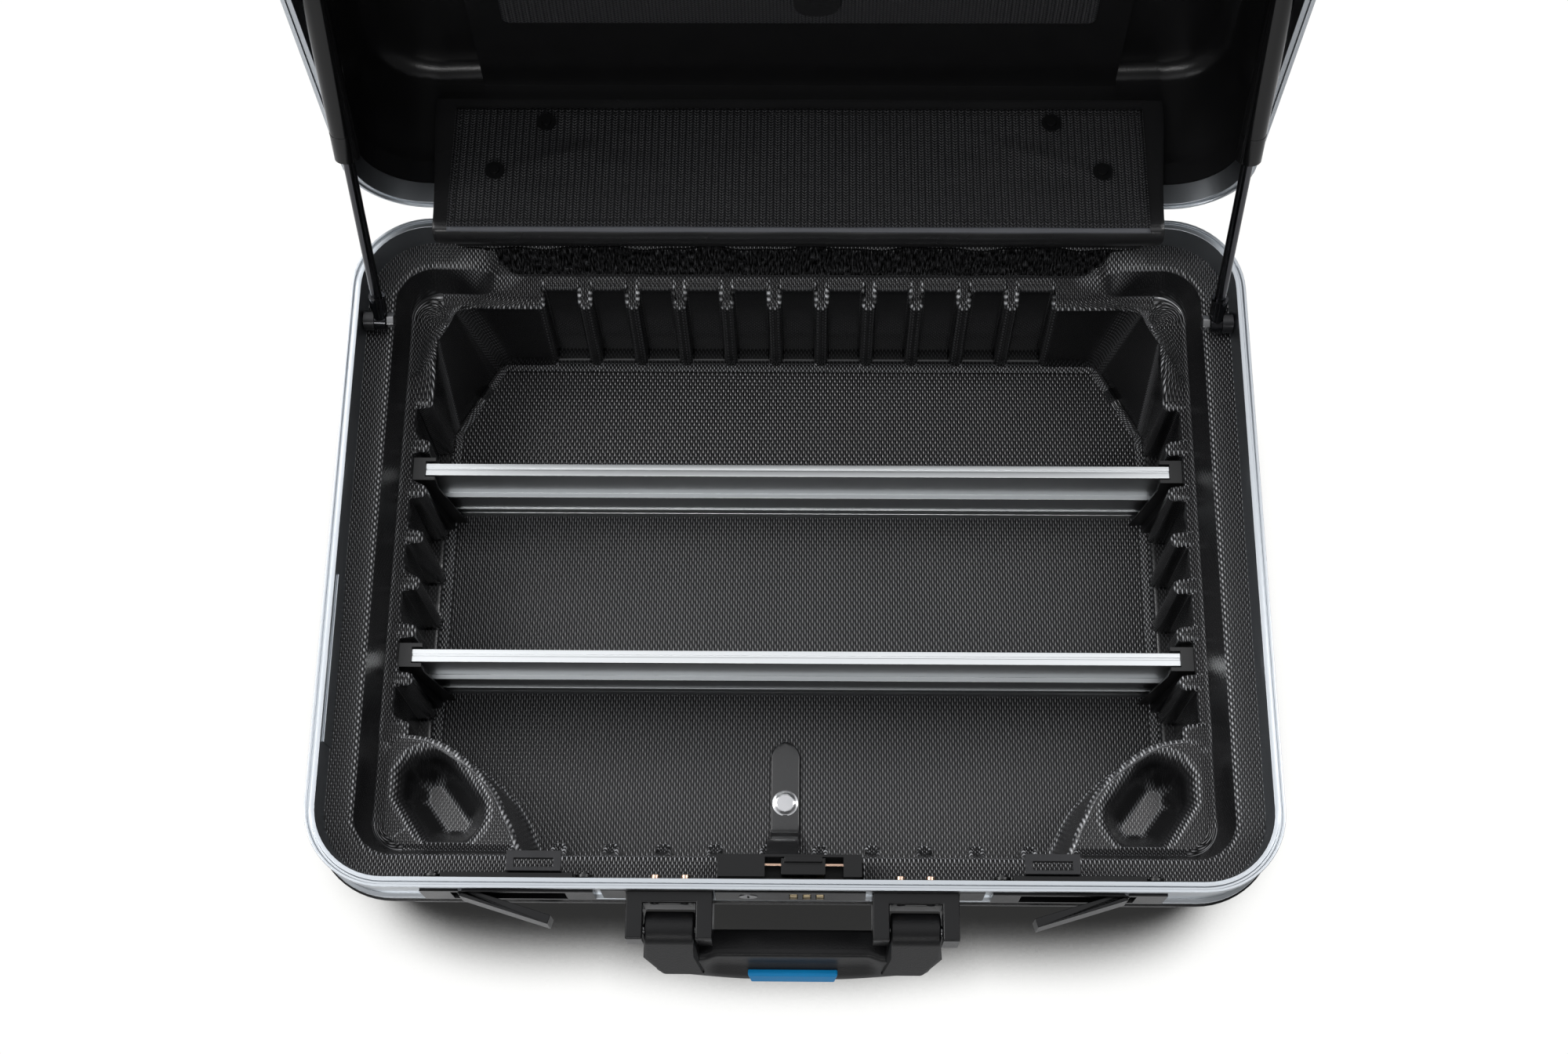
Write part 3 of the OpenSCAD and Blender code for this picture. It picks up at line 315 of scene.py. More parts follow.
MATERIALS = {
    "shell": surface("shell_abs", (0.006, 0.006, 0.0065), 0.27, tint=(0.011, 0.011, 0.0115), spec=0.5,
                     grain=(900, 0.35, (1, 1, 1))),
    # the liner's valley, wall and edge colours are painted shade in the weave's gaps, painted shade on steep
    # walls and a painted highlight on tight bends
    "liner": surface("liner_sheet", (0.06, 0.06, 0.063), 0.22, tint=(0.075, 0.075, 0.079), spec=1.0,
                     ior=1.7, gloss=(9, 0.06, (1, 1, 1)), height=weave_height, depth=0.0005,
                     valley=(0.002, 0.002, 0.002), painted_wall_shade=(0.003, 0.003, 0.0033),
                     edge=(0.004, 0.02, (0.7, 0.71, 0.735))),
    # a lighter copy of the liner sheet for the floor: painted light where the floor catches more of the lamps
    "liner_floor": surface("liner_floor_sheet_painted_light", (0.1, 0.1, 0.105), 0.2, tint=(0.13, 0.13, 0.137),
                           tint_at=9, spec=1.0, ior=1.7, gloss=(9, 0.06, (1, 1, 1)), height=weave_height,
                           depth=0.0005, valley=(0.001, 0.001, 0.001)),
    "aluminium": surface("aluminium_satin", (0.56, 0.59, 0.62), 0.3, metal=1.0, tint=(0.52, 0.55, 0.58),
                         tint_at=12, gloss=(30, 0.06, (1, 1, 4))),
    "rail": surface("aluminium_rail", (0.78, 0.8, 0.81), 0.3, metal=1.0, tint=(0.74, 0.76, 0.77),
                    tint_at=6, gloss=(8, 0.04, (0.05, 1, 1))),
    "steel": surface("steel_bright", (0.6, 0.6, 0.61), 0.2, metal=1.0, tint=(0.5, 0.5, 0.51), tint_at=90,
                     gloss=(150, 0.12, (1, 1, 1))),
    "dark_steel": surface("steel_black", (0.02, 0.02, 0.022), 0.28, metal=0.5, tint=(0.035, 0.035, 0.037),
                          tint_at=120, grain=(600, 0.15, (1, 1, 1))),
    "screw": surface("screw_black_zinc", (0.004, 0.004, 0.0045), 0.3, tint=(0.008, 0.008, 0.0085),
                     tint_at=150, gloss=(200, 0.12, (1, 1, 1))),
    "tube": surface("tube_black", (0.002, 0.002, 0.0022), 0.1, tint=(0.004, 0.004, 0.0042), tint_at=30,
                    spec=0.35, gloss=(20, 0.04, (1, 1, 1))),
    "rod": surface("rod_black_nitride", (0.05, 0.05, 0.055), 0.12, metal=1.0, tint=(0.08, 0.08, 0.085),
                   tint_at=40, gloss=(80, 0.05, (1, 1, 1))),
    "zinc": surface("zinc_black", (0.004, 0.004, 0.0045), 0.22, tint=(0.007, 0.007, 0.0075), tint_at=50,
                    spec=0.28, grain=(1400, 0.1, (1, 1, 1)), gloss=(30, 0.08, (1, 1, 1))),
    "copper": surface("rivet_bronze", (0.72, 0.5, 0.38), 0.22, metal=1.0, tint=(0.62, 0.42, 0.32),
                      tint_at=200, gloss=(300, 0.1, (1, 1, 1))),
    "leather": surface("leather_black", (0.013, 0.013, 0.0137), 0.28, tint=(0.02, 0.02, 0.021), tint_at=35,
                       grain=(520, 0.4, (1, 1, 1)), gloss=(12, 0.14, (1, 1, 1)), spec=0.7),
    "binding": surface("binding_grey", (0.1, 0.104, 0.118), 0.45, tint=(0.13, 0.135, 0.15), tint_at=60,
                       grain=(700, 0.4, (1, 4, 4))),
    "thread": surface("thread_black", (0.006, 0.006, 0.0065), 0.5, tint=(0.012, 0.012, 0.013), tint_at=300,
                      grain=(2500, 0.6, (1, 1, 1))),
    # the valley colours of the knits and the pile are painted shade in their gaps
    "loop": surface("loop_knit", (0.052, 0.052, 0.057), 0.36, tint=(0.085, 0.085, 0.091), tint_at=200,
                    spec=0.9, height=chevron_height, depth=0.0012, valley=(0.001, 0.001, 0.0012)),
    "knit": surface("loop_knit_ribbed", (0.04, 0.04, 0.044), 0.36, tint=(0.06, 0.06, 0.066), tint_at=200,
                    spec=0.9, height=lambda n: chevron_height(n, flat=False), depth=0.0008,
                    valley=(0.002, 0.002, 0.0025)),
    "pile": surface("loop_pile", (0.02, 0.02, 0.022), 0.36, tint=(0.09, 0.09, 0.095), tint_at=300,
                    spec=0.9, height=pile_height, depth=0.003, valley=(0.001, 0.001, 0.001)),
    "grip": surface("grip_plastic", (0.004, 0.004, 0.0045), 0.36, tint=(0.007, 0.007, 0.0075), tint_at=40,
                    spec=0.22, grain=(1300, 0.7, (1, 1, 1))),
    "blue": surface("insert_blue", (0.001, 0.22, 0.5), 0.4, tint=(0.001, 0.19, 0.45), tint_at=30, spec=0.2,
                    grain=(900, 0.1, (1, 1, 1))),
    "dial": surface("dial_plated", (0.55, 0.46, 0.3), 0.3, metal=1.0, tint=(0.4, 0.33, 0.22), tint_at=200,
                    gloss=(200, 0.15, (1, 1, 1))),
    "holder": surface("holder_plastic", (0.006, 0.006, 0.0065), 0.34, tint=(0.01, 0.01, 0.0105),
                      tint_at=50, grain=(1000, 0.25, (1, 1, 1))),
}

LOOK = {
    "shell": "base_shell lid_shell", "liner": "base_liner",
    "aluminium": "base_frame lid_frame frame_splice", "rail": "rail_rear rail_front",
    "steel": "hinge_base_leaf hinge_lid_leaf hinge_pin handle_pins latch_pins dial_shaft strut_base_nuts "
             "strap_snap key_cylinder",
    "dark_steel": "strut_base_studs strut_lid_studs loop_left loop_right",
    "screw": "latch_screws flap_screws",
    "tube": "strut_tube_left strut_tube_right", "rod": "strut_rod_left strut_rod_right",
    "zinc": "handle_brackets latch_housings latch_guides lock_plate lock_case latch_catches lock_hook "
            "lever_left lever_right lock_bolt",
    "copper": "bracket_rivets lock_rod", "leather": "flap_lower flap_upper lid_tab strap",
    "loop": "rear_loop_strip flap_loop_panel", "knit": "lid_loop_panel", "grip": "handle_grip",
    "blue": "handle_insert",
    "dial": "dial_1 dial_2 dial_3", "holder": "holders_rear holders_front",
}
for look, names in LOOK.items():
    for name in names.split():
        obj = NODES[name]
        obj.data.materials.clear()
        obj.data.materials.append(MATERIALS[look])

# ---------- shared mesh helpers ----------


def add_piece(name, mesh, body, look, replaces=()):
    """A new piece on a body. Without a body it gets no parent and stays where it is drawn."""
    piece = bpy.data.objects.new(name, mesh)
    bpy.context.collection.objects.link(piece)
    mesh.materials.append(MATERIALS[look])
    if body:
        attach(piece, body)
    if replaces:
        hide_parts(*replaces)
    return piece


def smooth(mesh):
    mesh.polygons.foreach_set("use_smooth", [True] * len(mesh.polygons))
    mesh.update()


def grid_mesh(name, rows, closed=False, cloth=None):
    """A mesh through rows of points; cloth holds (u, v, weight) for each point, for the woven materials."""
    count = len(rows[0])
    points = [Vector(p) * MM for row in rows for p in row]
    faces = []
    for i in range(len(rows) - (0 if closed else 1)):
        a, b = i * count, (i + 1) % len(rows) * count
        faces += [(a + j, b + j, b + j + 1, a + j + 1) for j in range(count - 1)]
    mesh = bpy.data.meshes.new(name)
    mesh.from_pydata(points, [], faces)
    if cloth:
        set_cloth(mesh, [c for row in cloth for c in row])
    smooth(mesh)
    return mesh


def set_cloth(mesh, values):
    """Stores (u, v, weight) for each point, with u and v turned into metres."""
    layer = mesh.attributes.new("cloth", "FLOAT_VECTOR", "POINT")
    flat = [part for u, v, weight in values for part in (u * MM, v * MM, weight)]
    layer.data.foreach_set("vector", flat)


def join_meshes(name, meshes):
    """One mesh from several, with their cloth coordinates."""
    points, faces, cloth = [], [], []
    for mesh in meshes:
        start = len(points)
        points += [v.co.copy() for v in mesh.vertices]
        faces += [tuple(start + i for i in p.vertices) for p in mesh.polygons]
        cloth += [tuple(c.vector) for c in mesh.attributes["cloth"].data]
    whole = bpy.data.meshes.new(name)
    whole.from_pydata(points, [], faces)
    layer = whole.attributes.new("cloth", "FLOAT_VECTOR", "POINT")
    layer.data.foreach_set("vector", [part for c in cloth for part in c])
    smooth(whole)
    return whole


def modifier(piece, kind, **values):
    made = piece.modifiers.new(kind.lower(), kind)
    for key, value in values.items():
        setattr(made, key, value)
    return made


def lerp(a, b, t):
    return a + (b - a) * t


def ease(t):
    t = min(max(t, 0.0), 1.0)
    return t * t * (3 - 2 * t)


def filleted(points, radii, steps=5):
    """The path through the points with each inner corner rounded. Every path through as many points has as
    many samples, so that neighbouring columns can be joined."""
    path = [Vector(points[0])]
    for before, here, after, radius in zip(points, points[1:], points[2:], radii):
        before, here, after = Vector(before), Vector(here), Vector(after)
        cut_a = min(radius, 0.48 * (before - here).length)
        cut_b = min(radius, 0.48 * (after - here).length)
        a = here + (before - here).normalized() * cut_a
        b = here + (after - here).normalized() * cut_b
        for i in range(steps + 1):
            t = i / steps
            path.append(a * (1 - t) ** 2 + here * 2 * t * (1 - t) + b * t * t)
    path.append(Vector(points[-1]))
    return path


# ---------- liner ----------

PITCH = 27
# a slot's outline from a rib's middle: how far along the wall, and how deep there
RIB = ((0, 0), (1, 0), (1.9, 0.25), (2.5, 0.8), (2.8, 1.7), (2.95, 3), (3.05, 5), (3.2, 6.6), (3.6, 7.5),
       (4.3, 7.95), (5.2, 8))
SLOT_DEPTH = 8
LONG_SLOTS = [(i - 5) * PITCH for i in range(11)]
SIDE_SLOTS = [1.7 + (i - 3) * PITCH for i in range(7)]
CUT_HALF = 176
LOCK_FROM, LOCK_TO = -38.4, 35.2
# where a side wall leaves its pod, and over what length the side wall's own ledges begin
POD_END, POD_FADE = -103, 5.5
FINE_PLACES = (LOCK_FROM, LOCK_FROM + 0.5, LOCK_TO, LOCK_TO - 0.5, POD_END, -101, -99, POD_END + POD_FADE)
# how far in from the frame's outer face the ribs and the slots' backs stand, at their top and their foot
RIB_LONG, RIB_SIDE = (31.2, 33.2), (39.2, 39.8)
BACK_LONG, BACK_SIDE = (23.2, 23.5), (30.6, 30.9)
SLOT_STEP = 2.5
LOCK_D, WALL_D = 27.2, 47.0
FACET_FROM, FACET_TO = 179.2, 109.4
FACET_ARC = math.pi / 2 * 8
FACET_CROWN = ((195.2, 154.6), (205.6, 133.4))
FACET_FOOT = ((FACET_FROM, 153.4), (203.6, FACET_TO))
FADE_LONG, FADE_SIDE = 150, 97
FADE_SHARES = ((3, 0.1), (4, 0.3), (5, 1), (6, 0.95))
CLOTH_SCALE = 1.25
# weights on walls and facets: they thin the weave and, through the liner's painted wall shade, darken these
# parts; the facets get less painted shade
WEAVE_AND_SHADE_WALL, WEAVE_AND_SHADE_FACET = 0.03, 0.22
WALL_FROM_Z, WALL_TO_Z = FLOOR_Z + 0.8, RIM_Z - 54
STRAIGHT_X, STRAIGHT_Y = RIGHT - CORNER_R, REAR - CORNER_R


def slot_depth(slots, t):
    """Depth of the slot at t along a wall: none on a rib's middle and outside the last ribs."""
    ribs = [s - PITCH / 2 for s in slots] + [slots[-1] + PITCH / 2]
    if t <= ribs[0] or t >= ribs[-1]:
        return 0.0
    away = min(abs(t - r) for r in ribs)
    for (s0, p0), (s1, p1) in zip(RIB, RIB[1:]):
        if away <= s1:
            return lerp(p0, p1, (away - s0) / (s1 - s0))
    return SLOT_DEPTH


def wall_places(slots, half, extra=()):
    """Places of the columns along a wall: evenly spread, and closer together where a slot's outline turns."""
    ribs = [s - PITCH / 2 for s in slots] + [slots[-1] + PITCH / 2]
    places = {round(-half + i * 2 * half / 60, 3) for i in range(61)}
    for r in ribs:
        for s, _ in RIB:
            places |= {round(r - s, 3), round(r + s, 3)}
    places |= set(extra)
    return sorted(p for p in places if -half <= p <= half)


def ring():
    """Columns round the case: place on the outer face, inward direction, slot depth, weights of the rear
    ledge's cut and of the lock's recess, the wall's name, and how far along that wall. In a corner the last
    two are its name and the share of its turn."""
    columns = []
    walls = (("front", 0, STRAIGHT_X, LONG_SLOTS), ("right", 90, STRAIGHT_Y, SIDE_SLOTS),
             ("rear", 180, STRAIGHT_X, LONG_SLOTS), ("left", 270, STRAIGHT_Y, SIDE_SLOTS))
    for name, turn, half, slots in walls:
        c, s = math.cos(math.radians(turn)), math.sin(math.radians(turn))
        reach = REAR if turn % 180 == 0 else RIGHT
        sign = 1 if name in ("front", "right") else -1
        for t in wall_places(slots, half, FINE_PLACES):
            along = sign * t
            p = slot_depth(slots, along)
            cut = ease((CUT_HALF + 5 - abs(along)) / 14) if name == "rear" else 0.0
            lock = 1.0 if name == "front" and LOCK_FROM + 0.4 < along < LOCK_TO - 0.4 else 0.0
            place = Vector((t * c + reach * s, t * s - reach * c, 0))
            columns.append((place, Vector((-s, c, 0)), p, cut, lock, name, along))
        centre = Vector((half * c + (reach - CORNER_R) * s, half * s - (reach - CORNER_R) * c, 0))
        for i in range(1, 24):
            a = math.radians(turn - 90 + i * 90 / 24)
            out = Vector((math.cos(a), math.sin(a), 0))
            columns.append((centre + out * CORNER_R, -out, 0.0, 0.0, 0.0, name + "_corner", i / 24))
    return columns


def facet_share(name, along):
    """How far a column is along a rear corner's slanted facet, from the rear wall to the side, or None."""
    rear_run, arc, side_run = STRAIGHT_X - FACET_FROM, FACET_ARC, STRAIGHT_Y - FACET_TO
    whole = rear_run + arc + side_run
    if name == "rear" and abs(along) > FACET_FROM:
        return (abs(along) - FACET_FROM) / whole
    if name == "rear_corner":
        return (rear_run + arc * along) / whole
    if name == "right_corner":
        return (rear_run + arc * (1 - along)) / whole
    if name in ("right", "left") and along > FACET_TO:
        return (rear_run + arc + STRAIGHT_Y - along) / whole
    return None


def side_share(name, along):
    """0 on the front and rear walls and beside the pods, 1 on the rest of the side walls, eased between."""
    if name in ("right", "left"):
        return ease((along - POD_END) / POD_FADE)
    if name == "rear_corner":
        return ease(along)
    return ease(1 - along) if name == "right_corner" else 0.0


def facet_point(ends, share, side, z):
    """The place at a share of the way between two ends in plan, on the right or mirrored to the left."""
    (from_x, from_y), (to_x, to_y) = ends
    return Vector((lerp(from_x, to_x, share) * side, lerp(from_y, to_y, share), z))


def fade(points, move_x, move_y):
    """Moves the wall's points of a column towards the facet that begins beside it."""
    for i, much in FADE_SHARES:
        points[i] = points[i] + Vector((move_x * much, move_y * much, 0))


def liner_profile(place, inward, p, cut, lock, name, along):
    """One column of the liner, from under the frame over the ledges and down the wall to the floor."""
    w = p / SLOT_DEPTH
    k = side_share(name, along)

    def flat(o, d):
        return place + inward * o + Vector((0, 0, RIM_Z - d))

    rib_top, rib_foot = (lerp(a, b, k) for a, b in zip(RIB_LONG, RIB_SIDE))
    back_top, back_foot = (lerp(a, b, k) for a, b in zip(BACK_LONG, BACK_SIDE))
    wall_top, wall_foot = lerp(rib_top, back_top, w), lerp(rib_foot, back_foot, w)
    start = (lerp(3.7, 4.2, cut), lerp(17.5, LOCK_D, lock))
    lip = (lerp(7.5, 8.2, cut), lerp(lerp(17.8, 18.3, cut), LOCK_D, lock))
    edge = (lerp(19.2, 17.6, cut) + 1.2 * lock, lerp(lerp(20.5, 37.0, cut), LOCK_D, lock))
    low = (lerp(25.6, lerp(21.2, 25.6, k), w), lerp(42.8, lerp(lerp(34, 38.7, cut), 42.6, k), w))
    crest = (min(lerp(28.0, 29.8, k), wall_top - 0.6), lerp(45.2, lerp(40.2, 45.6, k), w))
    brow = (wall_top, lerp(WALL_D, lerp(43.5, WALL_D, k), w))
    step_d = FLOOR_D - SLOT_STEP * w
    turn = ease(w * 2)
    points = [flat(*start), flat(*lip), flat(*edge), flat(*low), flat(*crest), flat(*brow),
              flat(wall_top + 0.3, 51.0), flat(wall_foot, step_d),
              flat(lerp(rib_foot + 0.4, rib_foot - 1.4, turn), step_d),
              flat(lerp(rib_foot + 1.2, rib_foot - 0.2, turn), FLOOR_D), flat(rib_foot + 6, FLOOR_D)]
    share = facet_share(name, along)
    side = 1 if place.x > 0 else -1
    if share is not None:
        crown = facet_point(FACET_CROWN, share, side, RIM_Z - WALL_D)
        foot = facet_point(FACET_FOOT, share, side, FLOOR_Z)
        points[5] = crown
        points[6] = crown.lerp(foot, 0.055)
        points[7] = foot
        points[8] = foot + Vector((-side * 0.7, -0.5, 0))
        points[9] = foot + Vector((-side * 1.6, -1.1, 0))
        points[10] = foot + Vector((-side * 5, -3.5, 0))
        outer = place + inward * 29.0 + Vector((0, 0, RIM_Z - 46.0))
        points[4] = Vector((lerp(outer.x, crown.x, 0.15), lerp(outer.y, crown.y, 0.15), RIM_Z - 46.0))
    elif name == "rear" and abs(along) > FADE_LONG:
        spread = (abs(along) - FADE_LONG) / (FACET_FROM - FADE_LONG)
        fade(points, side * 16 * spread, 0)
    elif name in ("right", "left") and along > FADE_SIDE:
        spread = (along - FADE_SIDE) / (FACET_TO - FADE_SIDE)
        fade(points, 0, 24 * spread)
    return filleted(points, (1, 1.6, 2.2, 2.0, 1.2, 1.0, 0.8, 0.8, 0.5, 0.5))


def liner_strip(columns):
    """The liner's ledges and walls as one closed strip, its weave full on level parts and faint on walls,
    where the same weight paints the walls darker as shade.
    """
    rows = [liner_profile(*column) for column in columns]
    count = len(rows[0])
    cloth = []
    for (place, inward, _, _, _, name, along), row in zip(columns, rows):
        line, run = [], 0.0
        on_wall = WEAVE_AND_SHADE_WALL if facet_share(name, along) is None else WEAVE_AND_SHADE_FACET
        for j in range(count):
            if j:
                run += (row[j] - row[j - 1]).length
            spot = place + inward * (run + 4)
            level = 1.0
            if 0 < j < count - 1:
                step = row[j + 1] - row[j - 1]
                level = step.xy.length / max(step.length, 1e-6)
            # the weight thins the weave on steep parts and also paints them darker as shade
            weight = WEAVE_AND_SHADE_WALL + (1 - WEAVE_AND_SHADE_WALL) * ease((level - 0.16) * 1.7)
            if WALL_FROM_Z < row[j].z < WALL_TO_Z:
                weight = min(weight, on_wall)
            line.append((spot.x * CLOTH_SCALE, spot.y * CLOTH_SCALE, weight))
        cloth.append(line)
    return grid_mesh("liner_walls", rows, closed=True, cloth=cloth), rows


def liner_floor(rows):
    """The flat floor inside the strip's last points."""
    ring_points = [row[-1] for row in rows]
    mesh = bpy.data.meshes.new("liner_floor")
    mesh.from_pydata([p * MM for p in ring_points], [], [tuple(range(len(ring_points)))])
    set_cloth(mesh, [(p.x, p.y, 1.0) for p in ring_points])
    return mesh


# in plan, on the right: the pod's inner edge, and the polygon that the pocket's outline surrounds at POCKET_R
POD_EDGE = ((216.5, -96.5), (187, -101.5), (161, -122.5), (149, -143.5), (142.5, -158.5))
POCKET = ((194, -120.5), (191, -119.5), (176, -138.5), (177, -140), (184, -140), (194, -126.5))
POCKET_R = 17
POCKET_LIP, POCKET_SLOPE = 1.5, 17
POD_TOP_D, POCKET_D, POD_DRAFT, POD_EDGE_R = 46.8, 30, 7, 2.2
POD_TUCK, POD_TOE_OUT, POD_TOE_UP = 1.5, 4.5, 4
POD_HUB = (216.5, -158.5)


def spline(points, t):
    """A point on the Catmull-Rom curve through the points, t from 0 to 1."""
    count = len(points) - 1
    i = min(int(t * count), count - 1)
    f = t * count - i
    p = [Vector(points[min(max(i + k, 0), count)]) for k in (-1, 0, 1, 2)]
    return 0.5 * ((2 * p[1]) + (p[2] - p[0]) * f + (2 * p[0] - 5 * p[1] + 4 * p[2] - p[3]) * f * f
                  + (3 * p[1] - p[0] - 3 * p[2] + p[3]) * f ** 3)


def pocket_distance(x, y):
    """Distance from the rounded outline of the pocket, negative inside."""
    spot, inside, near = Vector((x, y)), True, 1e9
    for a, b in zip(POCKET, POCKET[1:] + POCKET[:1]):
        a, b = Vector(a), Vector(b)
        edge = b - a
        t = min(max((spot - a).dot(edge) / edge.length_squared, 0), 1)
        near = min(near, (spot - a.lerp(b, t)).length)
        if edge.x * (spot.y - a.y) - edge.y * (spot.x - a.x) < 0:
            inside = False
    return (-near if inside else near) - POCKET_R


def pod(side):
    """A raised front corner with its pocket, drawn on the right and mirrored for the left."""
    hub = Vector(POD_HUB)
    around, across, edge_steps, wall_steps, toe_steps = 110, 74, 6, 5, 5
    edge_z = RIM_Z - POD_TOP_D
    rows, cloth = [], []
    for i in range(around + 1):
        edge = spline(POD_EDGE, i / around)
        ahead = spline(POD_EDGE, min(i / around + 0.01, 1)) - spline(POD_EDGE, max(i / around - 0.01, 0))
        out = Vector((ahead.y, -ahead.x)).normalized()
        if out.dot(edge - hub) < 0:
            out = -out
        line, marks = [], []
        for j in range(across + 1):
            spot = hub.lerp(edge - out * POD_EDGE_R, 0.02 + 0.98 * j / across)
            near = pocket_distance(spot.x, spot.y)
            fall = ease((POCKET_LIP - near) / POCKET_SLOPE)
            # the weight thins the weave and paints the pocket's wall darker as shade; the pod's edge and wall
            # below get low weights too
            weight = 0.9 - 0.82 * ease(fall * 3) + 0.2 * ease(fall * 2.5 - 1.5)
            line.append(Vector((spot.x * side, spot.y, edge_z - POCKET_D * fall)))
            marks.append((spot.x * CLOTH_SCALE, spot.y * CLOTH_SCALE, weight))
        for j in range(1, edge_steps + 1):
            a = j / edge_steps * math.pi / 2
            spot = edge - out * POD_EDGE_R * (1 - math.sin(a))
            line.append(Vector((spot.x * side, spot.y, edge_z - POD_EDGE_R * (1 - math.cos(a)))))
            marks.append((spot.x, spot.y, 0.3))
        foot = edge + out * POD_DRAFT
        for j in range(1, wall_steps + 1):
            spot = edge.lerp(foot - out * POD_TUCK, j / wall_steps)
            z = lerp(edge_z - POD_EDGE_R, FLOOR_Z + POD_TOE_UP, j / wall_steps)
            line.append(Vector((spot.x * side, spot.y, z)))
            marks.append((spot.x, spot.y + 30 * j, 0.3))
        for j in range(1, toe_steps + 1):
            a = j / toe_steps * math.pi / 2
            spot = foot + out * (-POD_TUCK + POD_TOE_OUT * (1 - math.cos(a)))
            z = FLOOR_Z + POD_TOE_UP * (1 - math.sin(a)) - 0.05 * j
            line.append(Vector((spot.x * side, spot.y, z)))
            marks.append((spot.x, spot.y, 0.4 + 0.1 * j))
        rows.append(line)
        cloth.append(marks)
    if side > 0:
        rows.reverse()
        cloth.reverse()
    return grid_mesh("liner_pod", rows, cloth=cloth)


columns = ring()
walls, wall_rows = liner_strip(columns)
liner_mesh = join_meshes("liner", [walls, pod(1), pod(-1)])
liner = add_piece("liner", liner_mesh, "base", "liner", ["base_liner"])
floor_mesh = liner_floor(wall_rows)
floor_piece = add_piece("liner_floor", floor_mesh, "base", "liner_floor", ["base_liner"])
for piece in (liner, floor_piece):
    modifier(piece, "SOLIDIFY", thickness=0.0012, offset=1.0)

# ---------- leather flap and loop panels over the hinge ----------

HINGE = Vector(JOINTS["lid_hinge"]["pos_m"]) / MM
LID_OPEN = math.radians(JOINTS["lid_hinge"]["range_deg"][1])
# the flap's fold into the base, in (y, z)
FLAP_FOLD = ((177.0, 138.7), (172.8, 137.6), (170.4, 133.0), (170.6, 127.5), (173.0, 122.0), (176.0, 117.5),
             (177.9, 113.5), (178.4, 109.2))
FLAP_TOP_H, FLAP_RIM_H, FLAP_INSET = 67, -13, 8.1
FLAP_TOP_STEPS, FLAP_FOLD_STEPS = 46, 44
FLAP_CLEAR = 0.3
PANEL_HALF, PANEL_FROM, PANEL_TO, BINDING_W = 192.5, 5.5, 86, 3.0
# soft folds: where each starts and ends as (x, length), how far it lifts and how wide it is
FOLDS = (((168, 52), (96, 24), 1.5, 5), ((141, 22), (80, 36), -1.0, 7), ((168, 48), (60, 60), -0.9, 8))


def lid_point(x, inset, height):
    """A point given as on the shut lid: inset from the outer face and height over its rim."""
    y, z = -(HINGE.y - REAR + inset), height
    c, s = math.cos(LID_OPEN), math.sin(LID_OPEN)
    return Vector((x, HINGE.y + y * c + z * s, HINGE.z - y * s + z * c))


def flap_line():
    """The flap's middle line in (y, z), from its top edge on the lid to its end in the base."""
    line = [lid_point(0, FLAP_INSET, lerp(FLAP_TOP_H, FLAP_RIM_H, i / FLAP_TOP_STEPS))
            for i in range(FLAP_TOP_STEPS)]
    fold = [spline(FLAP_FOLD, i / FLAP_FOLD_STEPS) for i in range(FLAP_FOLD_STEPS + 1)]
    return [Vector((p.y, p.z)) for p in line] + fold


def sag(x, length):
    """How far the flap lifts off at a place: small waves, and soft folds that run in from the screws."""
    lift = 0.35 * math.sin(x / 31 + 1.3) * math.sin(length / 17) + 0.2 * math.sin(x / 11 + length / 9)
    for side in (-1, 1):
        for a, b, amount, width in FOLDS:
            start, end = Vector((side * a[0], a[1])), Vector((side * b[0], b[1]))
            spot = Vector((x, length))
            t = (spot - start).dot(end - start) / (end - start).length_squared
            near = (spot - start.lerp(end, min(max(t, 0), 1))).length
            lift += amount * math.exp(-(near / width) ** 2) * (1 - ease(abs(t - 0.4) / 0.9))
    return lift


def flap_sheet(name, from_l, to_l, half_at, raise_by, across=150):
    """A sheet that follows the flap's line, and that line's length; half_at(length) gives the half width."""
    line = flap_line()
    lengths = [0.0]
    for a, b in zip(line, line[1:]):
        lengths.append(lengths[-1] + (b - a).length)
    rows, cloth = [], []
    marks = [i for i, l in enumerate(lengths) if from_l <= l <= to_l]
    for i in marks:
        before, after = line[max(i - 1, 0)], line[min(i + 1, len(line) - 1)]
        ahead = (after - before).normalized()
        normal = Vector((-ahead.y, ahead.x)) * -1
        row, spots = [], []
        for k in range(across + 1):
            x = lerp(-1, 1, k / across) * half_at(lengths[i])
            hold = ease((lengths[-1] - 6 - lengths[i]) / 25)
            lift = raise_by + sag(x, lengths[i]) * hold * ease(lengths[i] / 12) + FLAP_CLEAR
            spot = line[i] + normal * lift
            row.append(Vector((x, spot.x, spot.y)))
            spots.append((x, lengths[i], 1.0))
        rows.append(row)
        cloth.append(spots)
    return grid_mesh(name, rows, cloth=cloth), lengths[-1]


def flap_half(length):
    """Half the flap's width, which narrows towards its end in the base."""
    return lerp(204.5, 200.5, ease(length / 80)) - 9 * ease((length - 92) / 22)


flap_mesh, FLAP_LONG = flap_sheet("flap", 0, 999, flap_half, 0)
flap = add_piece("flap", flap_mesh, None, "leather", ["flap_upper", "flap_lower"])
modifier(flap, "SOLIDIFY", thickness=0.0014, offset=-1.0)
modifier(flap, "BEVEL", width=0.0004, segments=2, limit_method="ANGLE")
panel_mesh, _ = flap_sheet("flap_loop", PANEL_FROM, PANEL_TO, lambda length: PANEL_HALF, 0.9)
panel = add_piece("flap_loop", panel_mesh, None, "loop", ["flap_loop_panel"])
modifier(panel, "SOLIDIFY", thickness=0.0009, offset=-1.0)
edges = []
for at in (PANEL_FROM, PANEL_TO - BINDING_W):
    made, _ = flap_sheet("binding", at, at + BINDING_W, lambda length: PANEL_HALF, 1.2)
    edges.append(made)
binding = add_piece("flap_binding", join_meshes("flap_binding", edges), None, "binding")
modifier(binding, "SOLIDIFY", thickness=0.0006, offset=-1.0)


